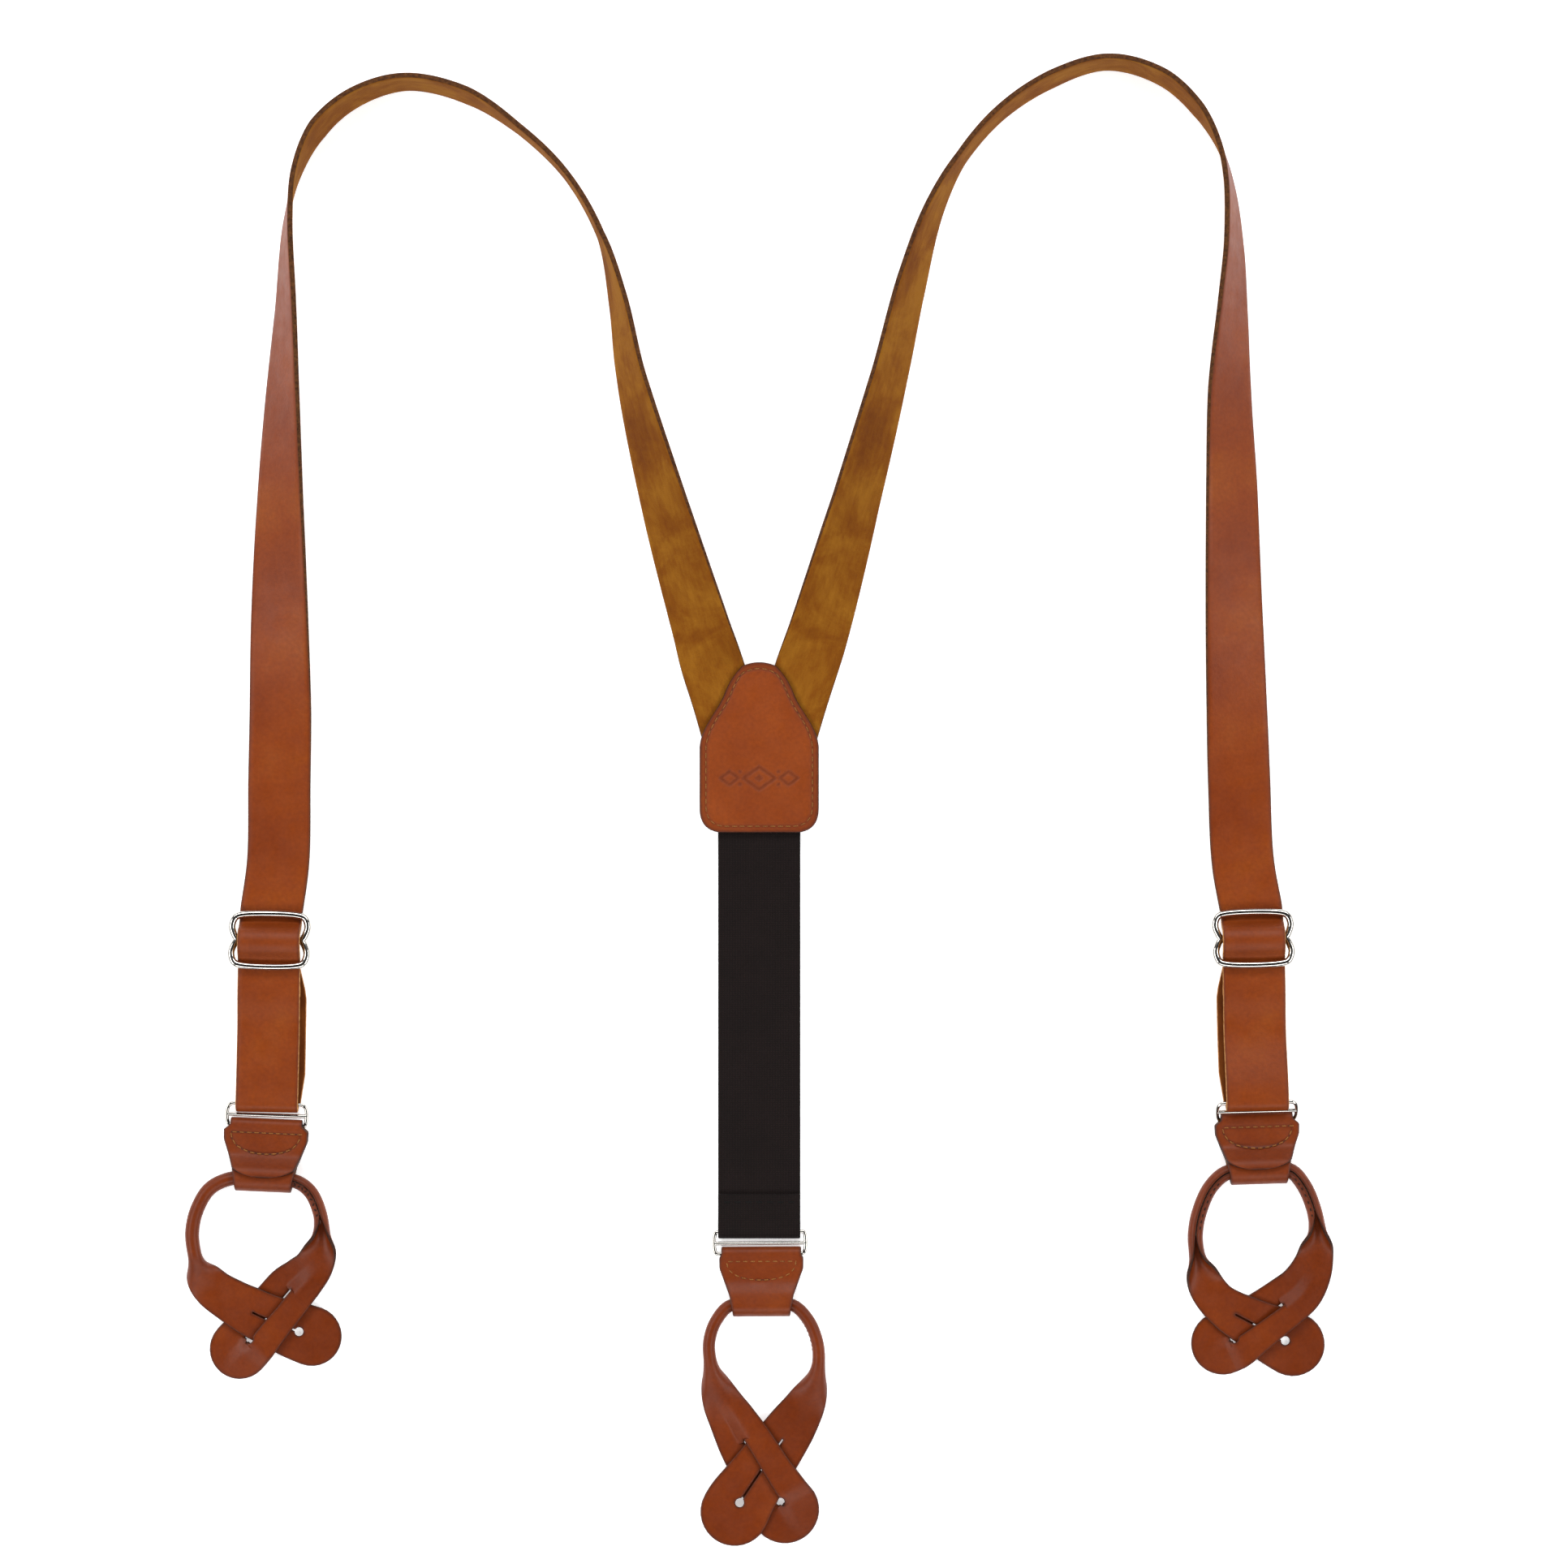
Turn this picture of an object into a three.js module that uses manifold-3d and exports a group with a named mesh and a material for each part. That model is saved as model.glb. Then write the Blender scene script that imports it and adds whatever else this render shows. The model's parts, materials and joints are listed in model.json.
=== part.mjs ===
// Button-on leather suspenders, laid flat with the inner side of the yoke facing up.
//
// Units are millimetres. The origin is the centre of the yoke's underside, +Y runs from the back
// button loop towards the shoulders, +X to the right and +Z up from the surface they lie on.

import * as THREE from 'three';
import { mergeVertices } from 'three/addons/utils/BufferGeometryUtils.js';
import Module from 'manifold-3d';

const wasm = await Module();
wasm.setup();

// ---- driving dimensions ----------------------------------------------------------------------

const GAP = 0.3;                 // air between two pieces that touch on the real object
const BEND_GAP = 0.45;           // slack of leather bent round a wire

const STRAP_WIDTH = 25.4;
const STRAP_THICK = 2.2;
const SKIVED_THICK = 1.2;        // strap end, pared thin where it wraps the slide's middle bar
const WRAP_WIDTH = 23.0;         // strap end, narrowed to pass the slide's waist
const FLAP_LENGTH = 23;          // strap end beyond the middle bar
const DROP_LENGTH = 66.5;        // slide's middle bar to the ring's upper bar
const RETURN_SHIFT = 2.4;        // how far the lower layer of the doubled run lies to the inside

const ELASTIC_WIDTH = 33.4;
const ELASTIC_THICK = 1.5;
const ELASTIC_LENGTH = 187.2;    // from inside the yoke to the back ring's upper bar
const ELASTIC_RETURN = 15.3;     // end folded back over the ring
const ELASTIC_START = -9.5;      // upper end, sewn into the yoke below the straps' ends

const PATCH_THICK = 1.6;
const YOKE_TOP = 34.6;           // half the yoke's height
const YOKE_HALF_WIDTH = 24.2;
const STITCH_INSET = 2.6;        // seam to cut edge

const SLIDE_WIRE = 1.45;         // radius of the slide's nickel wire
const SLIDE_BAR = 0.8;           // radius of its middle bar
const SLIDE_PITCH = 10.4;        // middle bar to outer bar
const SLIDE_SIDE_GAP = 1.25;     // strap edge to the widest part of the slide's opening

const RING_WIRE = 0.8;           // radius
const RING_UPPER_PLAY = 0.35;    // from the strap's fold to the middle bar
const RING_LOWER_PLAY = 0.55;    // from the holder's fold to the middle bar
const RING_CORNER = 1.4;
const FRONT_RING_SIDE_GAP = 2.7; // strap edge to the inside of the ring
const BACK_RING_SIDE_GAP = 1.1;

const HOLDER_THICK = 1.6;
const HOLDER_FOLD_GAP = 0.8;     // fold's end to the inside of the ring
const TUBE_GAP = 0.5;            // slack of the holder round the rolled loop

const LOOP_THICK = 1.4;
const CURL_ANGLE = THREE.MathUtils.degToRad(342);
const HOLE_RADIUS = 1.75;        // keyhole at the end of each slit
const SLIT_HALF = 0.25;
const CORE_SHARE = 0.58;         // cord core's share of the roll's bore

const THREAD = 0.2;              // radius of the sewing thread

// ---- heights that follow from them -----------------------------------------------------------

const yokeLayer = PATCH_THICK + GAP;
const innerPatchZ = yokeLayer + STRAP_THICK + GAP;
const strapRest = STRAP_THICK / 2;
const flapZ = STRAP_THICK + GAP + SKIVED_THICK / 2;
const threadRoom = 2 * GAP;
const coverZ = flapZ + SKIVED_THICK / 2 + threadRoom + STRAP_THICK / 2;
const lowerSlideBarZ = coverZ + STRAP_THICK / 2 + GAP + SLIDE_WIRE;
const upperSlideBarZ = STRAP_THICK + GAP + SLIDE_WIRE;
const slideZ = (lowerSlideBarZ + upperSlideBarZ) / 2;
const slideTilt = Math.asin((lowerSlideBarZ - upperSlideBarZ) / (2 * SLIDE_PITCH));
const slideReach = SLIDE_PITCH * Math.cos(slideTilt);
const frontRingZ = STRAP_THICK + BEND_GAP + RING_WIRE;
const backRingZ = ELASTIC_THICK + BEND_GAP + RING_WIRE;
const ringUpper = 2 * RING_WIRE + BEND_GAP + STRAP_THICK + RING_UPPER_PLAY;     // upper bar to middle bar
const ringHeight = ringUpper + 2 * RING_WIRE + BEND_GAP + HOLDER_THICK + RING_LOWER_PLAY;
const holderBarZ = HOLDER_THICK + BEND_GAP + RING_WIRE;
const holderBend = RING_WIRE + BEND_GAP + HOLDER_THICK / 2;
const holderHalf = HOLDER_THICK / 2;
const holderLayer = HOLDER_THICK + GAP;
const holderTop = 3 * HOLDER_THICK + 2 * GAP;
const loopLayer = LOOP_THICK + GAP;

// ---- small geometry tools --------------------------------------------------------------------

const v2 = (y, z) => new THREE.Vector2(y, z);
const v3 = (x, y, z) => new THREE.Vector3(x, y, z);
const UP = v3(0, 0, 1);

// Reads a value from a list of [place, value] pairs, straight between them.
function readTable(table, place) {
  let k = 1;
  while (k < table.length - 1 && place > table[k][0]) k += 1;
  const [a, b] = [table[k - 1], table[k]];
  const share = THREE.MathUtils.clamp((place - a[0]) / (b[0] - a[0]), 0, 1);
  return a[1] + (b[1] - a[1]) * share;
}

function arcPoints(centre, radius, fromDeg, toDeg, steps) {
  const points = [];
  for (let i = 0; i <= steps; i += 1) {
    const angle = THREE.MathUtils.degToRad(fromDeg + ((toDeg - fromDeg) * i) / steps);
    points.push(v2(centre.x + radius * Math.cos(angle), centre.y + radius * Math.sin(angle)));
  }
  return points;
}

const smooth = (points, steps) => new THREE.SplineCurve(points).getPoints(steps);

// Joins stretches of a path, each starting where the last one ended.
function joinPaths(...stretches) {
  return stretches.flatMap((stretch, i) => (i === 0 ? stretch : stretch.slice(1)));
}

// A sheet as one closed body, from grids of points on its two faces. isOpen names cells cut out.
function sheetSolid(top, bottom, isOpen = () => false) {
  const rows = top.length;
  const cols = top[0].length;
  const positions = [top, bottom].flat(2).flatMap((p) => [p.x, p.y, p.z]);
  const index = [];
  const quad = (a, b, c, d) => index.push(a, b, c, a, c, d);
  const isFilled = (i, j) => i >= 0 && j >= 0 && i < rows - 1 && j < cols - 1 && !isOpen(i, j);
  for (let i = 0; i < rows - 1; i += 1) {
    for (let j = 0; j < cols - 1; j += 1) {
      if (!isFilled(i, j)) continue;
      const corners = [[i, j], [i, j + 1], [i + 1, j + 1], [i + 1, j]].map(([r, c]) => r * cols + c);
      const under = corners.map((k) => k + rows * cols);
      quad(...corners);
      quad(...[...under].reverse());
      const beside = [[i - 1, j], [i, j + 1], [i + 1, j], [i, j - 1]];
      beside.forEach(([r, c], k) => {
        const next = (k + 1) % 4;
        if (!isFilled(r, c)) quad(corners[next], corners[k], under[k], under[next]);
      });
    }
  }
  const geometry = new THREE.BufferGeometry();
  geometry.setAttribute('position', new THREE.Float32BufferAttribute(positions, 3));
  geometry.setIndex(index);
  return geometry;
}

// A strip bent along a path in the Y-Z plane, lying across X, moved sideways by shiftAt.
function bentSheet(path, thickAt, halfWidthAt, shiftAt = () => 0) {
  const faces = [1, -1].map((side) => path.map((p, i) => {
    const along = path[Math.min(i + 1, path.length - 1)].clone().sub(path[Math.max(i - 1, 0)]).normalize();
    const offset = (side * thickAt(p, i)) / 2;
    const half = halfWidthAt(p, i);
    const shift = shiftAt(p, i);
    return [-half, half].map((x) => v3(x + shift, p.x - along.y * offset, p.y + along.x * offset));
  }));
  return sheetSolid(faces[0], faces[1]);
}

// A round wire or thread along points, closed on itself or with flat ends.
function roundWire(points, radius, sides, closed = false) {
  const n = points.length;
  const positions = [];
  points.forEach((p, i) => {
    const before = points[closed ? (i + n - 1) % n : Math.max(i - 1, 0)];
    const after = points[closed ? (i + 1) % n : Math.min(i + 1, n - 1)];
    const along = after.clone().sub(before).normalize();
    const side = along.clone().cross(UP).normalize();
    const up = side.clone().cross(along);
    for (let k = 0; k < sides; k += 1) {
      const angle = (2 * Math.PI * k) / sides;
      const q = p.clone().addScaledVector(side, radius * Math.cos(angle));
      q.addScaledVector(up, radius * Math.sin(angle));
      positions.push(q.x, q.y, q.z);
    }
  });
  const index = [];
  for (let i = 0; i < (closed ? n : n - 1); i += 1) {
    for (let k = 0; k < sides; k += 1) {
      const [a, b] = [i * sides + k, i * sides + ((k + 1) % sides)];
      const [c, d] = [((i + 1) % n) * sides + ((k + 1) % sides), ((i + 1) % n) * sides + k];
      index.push(a, c, b, a, d, c);
    }
  }
  if (!closed) {
    for (let k = 1; k < sides - 1; k += 1) {
      index.push(0, k, k + 1);
      index.push((n - 1) * sides, (n - 1) * sides + k + 1, (n - 1) * sides + k);
    }
  }
  const geometry = new THREE.BufferGeometry();
  geometry.setAttribute('position', new THREE.Float32BufferAttribute(positions, 3));
  geometry.setIndex(index);
  return geometry;
}

function toManifold(geometry) {
  const plain = geometry.clone();
  plain.deleteAttribute('normal');
  plain.deleteAttribute('uv');
  const merged = mergeVertices(plain, 1e-5);
  return new wasm.Manifold(new wasm.Mesh({
    numProp: 3,
    vertProperties: new Float32Array(merged.attributes.position.array),
    triVerts: new Uint32Array(merged.index.array),
  }));
}

function fromManifold(solid) {
  const mesh = solid.getMesh();
  const geometry = new THREE.BufferGeometry();
  geometry.setAttribute('position', new THREE.BufferAttribute(mesh.vertProperties, 3));
  geometry.setIndex(new THREE.BufferAttribute(mesh.triVerts, 1));
  return geometry;
}

// A rod between the two sides of a wire frame, joined to it.
function withBar(frameGeometry, y, halfLength, radius, sides) {
  const bar = new THREE.CylinderGeometry(radius, radius, 2 * halfLength, sides);
  bar.rotateZ(Math.PI / 2);
  bar.translate(0, y, 0);
  return fromManifold(toManifold(frameGeometry).add(toManifold(bar)));
}

// ---- materials -------------------------------------------------------------------------------

const material = (color, roughness, metalness) => (
  new THREE.MeshStandardMaterial({ color, roughness, metalness }));
const GRAIN = material(0x96481a, 0.5, 0);
const SUEDE = material(0x915a10, 0.95, 0);
const ELASTIC = material(0x2b1b18, 0.85, 0);
const NICKEL = material(0xc9c6c0, 0.2, 1);
const TAN_THREAD = material(0xb98250, 0.7, 0);
const DARK_THREAD = material(0x1d1413, 0.7, 0);
const CORD = material(0xd8cdb8, 0.9, 0);

function addMesh(group, name, geometry, finish) {
  geometry.computeVertexNormals();
  const mesh = new THREE.Mesh(geometry, finish);
  mesh.name = name;
  group.add(mesh);
  return mesh;
}

// ---- the lay of the two straps ---------------------------------------------------------------

// Each strap leaves the yoke, stands on its edge over the shoulder and lies down again in front.
// x, y, bank. Bank is 0 with the flesh side up, 90 on edge and 180 with the grain side up.
const STRAP_ROUTES = {
  left: [
    [-5.8, -12, 0], [-14.5, 19, 0], [-18.5, 31.5, 0], [-23, 46.5, 21], [-38.5, 99, 44], [-52, 151, 65],
    [-57, 180.5, 75], [-64, 207, 87], [-78, 231.5, 89], [-97, 250, 89], [-118, 263.5, 84], [-143, 269, 85],
    [-164, 262.5, 83], [-178.5, 250, 82], [-187, 233, 90], [-190.5, 213.5, 99], [-191.5, 177.5, 111],
    [-193, 138, 126], [-194, 99, 140], [-194.5, 53, 159], [-194.5, 13.5, 175], [-195, -13, 180],
    [-195.5, -46, 180],
  ],
  right: [
    [5.8, -12, 0], [15, 19, 0], [19, 31.5, 0], [24, 46.5, 15], [39, 99, 42], [53, 151.5, 57],
    [61.5, 187.5, 64], [70.5, 217, 75], [81.5, 238, 84], [97.5, 256.5, 84], [118, 270, 83], [141, 277, 86],
    [163, 271, 86], [177.5, 258, 88], [186, 243.5, 95], [190, 228.5, 100], [192, 203.5, 109],
    [191.5, 177.5, 120], [190.5, 145, 135], [191.5, 105.5, 147], [192.5, 59.5, 157],
    [194, 13.5, 170], [195, -13, 180], [196.5, -46, 180],
  ],
};
const YOKE_ROWS = 2;             // the route's rows up to the yoke's edge
const STRAP_STATIONS = 62;

// Where each side's slide lies, how far its lower run is turned, and how its ring is tilted.
const SIDES = {
  left: { x: -198.6, y: -78.2, turn: -1, ringTurn: -0.9, holderTurn: -0.7, ringTilt: null },
  right: { x: 200.4, y: -77.4, turn: 1.2, ringTurn: 0.3, holderTurn: 0.3, ringTilt: 37 },
};

function straps(group) {
  for (const [side, route] of Object.entries(STRAP_ROUTES)) {
    const { x, y, turn } = SIDES[side];
    const angle = THREE.MathUtils.degToRad(turn);
    const endY = slideReach + GAP / 2;
    const end = [x - endY * Math.sin(angle), y + endY * Math.cos(angle), 180];
    const rows = [...route, end];
    const plan = new THREE.CatmullRomCurve3(rows.map(([px, py]) => v3(px, py, 0)), false, 'centripetal');
    const banks = rows.map(([, , bank], row) => [row, bank]);
    const inward = side === 'left' ? 1 : -1;
    const top = [];
    const bottom = [];
    for (let i = 0; i <= STRAP_STATIONS; i += 1) {
      const t = i / STRAP_STATIONS;
      const p = plan.getPoint(t);
      const along = plan.getTangent(t);
      if (i === STRAP_STATIONS) along.set(Math.sin(angle), -Math.cos(angle), 0);
      const row = t * (rows.length - 1);
      const bank = THREE.MathUtils.degToRad(readTable(banks, row));
      const inner = UP.clone().cross(along).multiplyScalar(inward);
      const flesh = UP.clone().multiplyScalar(Math.cos(bank)).addScaledVector(inner, Math.sin(bank));
      const across = along.clone().cross(flesh);
      p.z = (STRAP_WIDTH / 2) * Math.sin(bank) + strapRest * Math.abs(Math.cos(bank));
      p.z += yokeLayer * THREE.MathUtils.clamp(YOKE_ROWS + 1 - row, 0, 1);
      const edges = [-1, 1].map((k) => p.clone().addScaledVector(across, (k * STRAP_WIDTH) / 2));
      top.push(edges.map((q) => q.clone().addScaledVector(flesh, strapRest)));
      bottom.push(edges.map((q) => q.clone().addScaledVector(flesh, -strapRest)));
    }
    const whole = sheetSolid(top, bottom);
    // The two straps butt along the yoke's centre line and end above the elastic.
    const beyondCentre = new THREE.BoxGeometry(80, 90, 12);
    beyondCentre.translate(inward * (40 - GAP / 2), 0, yokeLayer);
    const belowEnd = new THREE.BoxGeometry(80, 60, 12);
    belowEnd.translate(0, ELASTIC_START + 2 * GAP - 30, yokeLayer);
    const cutters = toManifold(beyondCentre).add(toManifold(belowEnd));
    addMesh(group, `${side}_strap`, fromManifold(toManifold(whole).subtract(cutters)), SUEDE);
  }
}

// ---- yoke ------------------------------------------------------------------------------------

// Half outline of the bell-shaped patch, moved in from the cut edge by inset.
function bellOutline(inset) {
  const shape = new THREE.Shape();
  const top = YOKE_TOP - inset;
  const half = YOKE_HALF_WIDTH - inset;
  const shoulder = v2(7 - inset * 0.35, top - 1.6);
  const corner = 10 - inset * 0.6;
  shape.moveTo(half, 0);
  shape.bezierCurveTo(half - 0.6, 8.5, half - 7.5, 15, half - 10, 21.5);
  shape.bezierCurveTo(half - 12, 27, half - 14.5, 30, shoulder.x, shoulder.y);
  shape.quadraticCurveTo(0, top + 1.6, -shoulder.x, shoulder.y);
  shape.bezierCurveTo(-half + 14.5, 30, -half + 12, 27, -half + 10, 21.5);
  shape.bezierCurveTo(-half + 7.5, 15, -half + 0.6, 8.5, -half, 0);
  shape.lineTo(-half, -top + corner);
  shape.quadraticCurveTo(-half, -top, -half + corner, -top);
  shape.lineTo(half - corner, -top);
  shape.quadraticCurveTo(half, -top, half, -top + corner);
  return shape;
}

function yoke(group) {
  const patch = () => new THREE.ExtrudeGeometry(bellOutline(0), {
    depth: PATCH_THICK, bevelEnabled: false, curveSegments: 6,
  });
  addMesh(group, 'yoke_outer_patch', patch(), GRAIN);
  addMesh(group, 'yoke_inner_patch', patch().translate(0, 0, innerPatchZ), GRAIN);
  const seamZ = innerPatchZ + PATCH_THICK + GAP + THREAD;
  const seam = bellOutline(STITCH_INSET).getPoints(6);
  const strand = seam.filter((p, i) => i === 0 || p.distanceTo(seam[i - 1]) > 0.5);
  if (strand[0].distanceTo(strand[strand.length - 1]) < 0.5) strand.pop();
  const line = strand.map((p) => v3(p.x, p.y, seamZ));
  addMesh(group, 'yoke_thread', roundWire(line, THREAD, 4, true), TAN_THREAD);
}

// ---- slide and the doubled lower run of each strap -------------------------------------------

function slide(group, side) {
  const bulge = STRAP_WIDTH / 2 + SLIDE_SIDE_GAP + SLIDE_WIRE;
  const corner = [[bulge - 3.4, 1], [bulge - 0.8, 0.86], [bulge, 0.53], [bulge - 0.9, 0.2]];
  const waist = bulge - 1.7;
  const right = [...corner, [waist, 0], ...[...corner].reverse().map(([x, y]) => [x, -y])];
  const left = right.map(([x, y]) => [-x, -y]);
  const ends = [...right, ...left].map(([x, y]) => v3(x, y * SLIDE_PITCH, 0));
  const outline = new THREE.CatmullRomCurve3(ends, true, 'centripetal').getPoints(44).slice(0, -1);
  const frame = withBar(roundWire(outline, SLIDE_WIRE, 8, true), 0, waist, SLIDE_BAR, 8);
  const mesh = addMesh(group, `${side}_adjuster`, frame, NICKEL);
  mesh.position.z = slideZ;
  mesh.rotation.x = -slideTilt;
}

// The strap's path in side view: under the top bar, over the middle bar, under the lower bar, down
// to the ring and round it, back up underneath, round the middle bar and into a sewn flap.
function strapLoop(group, side, ringZ) {
  const wrap = SLIDE_BAR + BEND_GAP + SKIVED_THICK / 2;
  const bend = RING_WIRE + BEND_GAP + STRAP_THICK / 2;
  const crest = slideZ + wrap + SKIVED_THICK / 2 + GAP + STRAP_THICK / 2 + 0.35;
  const lift = ringZ - frontRingZ;
  const ring = v2(-DROP_LENGTH, ringZ);
  const closedZ = STRAP_THICK + GAP + strapRest;
  const flapEnd = -FLAP_LENGTH;
  const front = smooth([
    v2(slideReach - GAP / 2, strapRest), v2(slideReach - 2.3, strapRest + 0.4),
    v2(slideReach - 4.1, strapRest + 1.9), v2(slideReach - 5.6, crest - 4.5),
    v2(slideReach - 7.1, crest - 1.5), v2(-0.2, crest), v2(-3.6, crest - 0.9), v2(-7, coverZ + 1.4),
    v2(-slideReach, coverZ), v2(flapEnd + 5, coverZ), v2(flapEnd - 1, coverZ - 0.2),
    v2(flapEnd - 10, closedZ), v2(-DROP_LENGTH + 25, closedZ + 0.1 * lift),
    v2(-DROP_LENGTH + 8, ringZ + bend - 1.1), v2(-DROP_LENGTH, ringZ + bend),
  ], 34);
  const back = smooth([
    v2(-DROP_LENGTH, ringZ - bend), v2(-DROP_LENGTH + 9, strapRest + 0.8 * lift),
    v2(-DROP_LENGTH + 26, strapRest + 0.1 * lift), v2(-DROP_LENGTH + 33, strapRest + 0.01 * lift),
    v2(flapEnd, strapRest), v2(-13, strapRest), v2(-6.5, strapRest + 1.4), v2(0, slideZ - wrap),
  ], 16);
  const flap = smooth([
    v2(0, slideZ + wrap), v2(-3.4, slideZ + wrap - 0.95), v2(-7, flapZ + 1.5),
    v2(-slideReach - 0.6, flapZ), v2(flapEnd + 5, flapZ), v2(flapEnd, flapZ),
  ], 12);
  const path = joinPaths(
    front,
    arcPoints(ring, bend, 90, 270, 6),
    back,
    arcPoints(v2(0, slideZ), wrap, -90, 90, 6),
    flap,
  );
  const fromRing = front.length + 5;
  const isWrapped = (i) => i > fromRing;
  const thickAt = (p, i) => (isWrapped(i)
    ? readTable([[-28, STRAP_THICK], [-12, SKIVED_THICK]], i > fromRing + 16 ? 0 : p.x) : STRAP_THICK);
  const halfAt = (p, i) => (isWrapped(i)
    ? readTable([[-20, STRAP_WIDTH / 2], [-8, WRAP_WIDTH / 2]], p.x) : STRAP_WIDTH / 2);
  const aside = side === 'left' ? RETURN_SHIFT : -RETURN_SHIFT;
  const shiftAt = (p, i) => (i > fromRing && i <= fromRing + 16
    ? aside * readTable([[-DROP_LENGTH, 0.3], [-DROP_LENGTH + 12, 1], [-24, 1], [-8, 0]], p.x) : 0);
  addMesh(group, `${side}_strap_loop`, bentSheet(path, thickAt, halfAt, shiftAt), GRAIN);
  const seamY = flapEnd + 3;
  const seamZ = flapZ + SKIVED_THICK / 2 + threadRoom / 2;
  const row = [-9, 9].map((x) => v3(x, seamY, seamZ));
  addMesh(group, `${side}_strap_end_thread`, roundWire(row, THREAD / 2, 4), TAN_THREAD);
}

// ---- elastic band ----------------------------------------------------------------------------

function elasticBand(group) {
  const bend = RING_WIRE + BEND_GAP + ELASTIC_THICK / 2;
  const rest = ELASTIC_THICK / 2;
  const ringY = ELASTIC_START - ELASTIC_LENGTH;
  const closedZ = rest + ELASTIC_THICK + GAP;
  const path = joinPaths(
    smooth([
      v2(ELASTIC_START, yokeLayer + rest), v2(-24, yokeLayer + rest), v2(-YOKE_TOP - 1, yokeLayer + rest),
      v2(-YOKE_TOP - 12, rest + 0.9), v2(-YOKE_TOP - 26, rest + 0.12), v2(-110, rest), v2(ringY + 20, rest),
      v2(ringY, rest),
    ], 26),
    arcPoints(v2(ringY, backRingZ), bend, -90, -270, 6),
    smooth([
      v2(ringY, backRingZ + bend), v2(ringY + 3.5, backRingZ + bend - 0.6),
      v2(ringY + 8, closedZ + 0.1), v2(ringY + ELASTIC_RETURN, closedZ),
    ], 7),
  );
  addMesh(group, 'elastic_band', bentSheet(path, () => ELASTIC_THICK, () => ELASTIC_WIDTH / 2), ELASTIC);
  const seamZ = closedZ + rest + GAP + THREAD;
  const seamY = ringY + ELASTIC_RETURN - 3.2;
  const row = [-1, 1].map((k) => v3(k * (ELASTIC_WIDTH / 2 - 1.5), seamY, seamZ));
  addMesh(group, 'elastic_thread', roundWire(row, THREAD, 4), DARK_THREAD);
  return ringY;
}

// ---- three-bar rings -------------------------------------------------------------------------

// The upper bar lies on the group's X axis and the lower bar ringHeight below it.
function ring(group, name, innerHalf, tilt) {
  const half = innerHalf + RING_WIRE;
  const shape = new THREE.Shape();
  const c = RING_CORNER;
  shape.moveTo(-half + c, 0);
  shape.lineTo(half - c, 0);
  shape.bezierCurveTo(half - c / 2, 0, half, -c / 2, half, -ringHeight / 2);
  shape.bezierCurveTo(half, -ringHeight + c / 2, half - c / 2, -ringHeight, half - c, -ringHeight);
  shape.lineTo(-half + c, -ringHeight);
  shape.bezierCurveTo(-half + c / 2, -ringHeight, -half, -ringHeight + c / 2, -half, -ringHeight / 2);
  shape.bezierCurveTo(-half, -c / 2, -half + c / 2, 0, -half + c, 0);
  const outline = shape.getPoints(5).map((p) => v3(p.x, p.y, 0));
  outline.pop();
  outline.reverse();
  const wire = roundWire(outline, RING_WIRE, 8, true);
  const mesh = addMesh(group, name, withBar(wire, -ringUpper, half, RING_WIRE, 8), NICKEL);
  mesh.rotation.x = tilt;
}

// ---- button-loop holders ---------------------------------------------------------------------

// Half width of the holder's outline by distance below the ring's lower bar.
const HOLDER_OUTLINE = [[2, 17.1], [6, 17], [11.5, 15], [16.5, 13.1], [22, 12], [27, 11.3]];
const FLAP_ROUND = 4.3;          // height of the flap's round end
const SEAM_CLIMB = 0.95;         // rise of the seam where the leather starts to climb the roll
const HOLDER_TAIL = -3.6;        // where the tail ends, short of the ring's bar

const tubeBend = (tube) => tube + TUBE_GAP + HOLDER_THICK / 2;
const tubeHeight = (tube) => tubeBend(tube) + HOLDER_THICK / 2;

// Half width of a strip with a round end, by the distance left to the end.
function roundedEnd(half, left, depth) {
  if (left >= depth) return half;
  const share = 1 - Math.max(left, 0) / depth;
  return Math.max(half * Math.sqrt(1 - share * share), 0.8);
}

// A holder is one strip of leather: a flap with a round end, a bend over the ring's lower bar, a
// stretch down to the rolled loop, a bend round the loop and a tail back up between the layers.
function holderStrip(group, name, foldHalf, flap, rest) {
  const flapEnd = flap[0].x;
  const widthAt = (y) => readTable([[0, foldHalf], ...HOLDER_OUTLINE], -y);
  const halfAt = (p, i) => (i < flap.length
    ? roundedEnd(widthAt(p.x), p.x - flapEnd, FLAP_ROUND) : widthAt(p.x));
  addMesh(group, name, bentSheet(joinPaths(flap, ...rest), () => HOLDER_THICK, halfAt), GRAIN);
}

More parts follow.
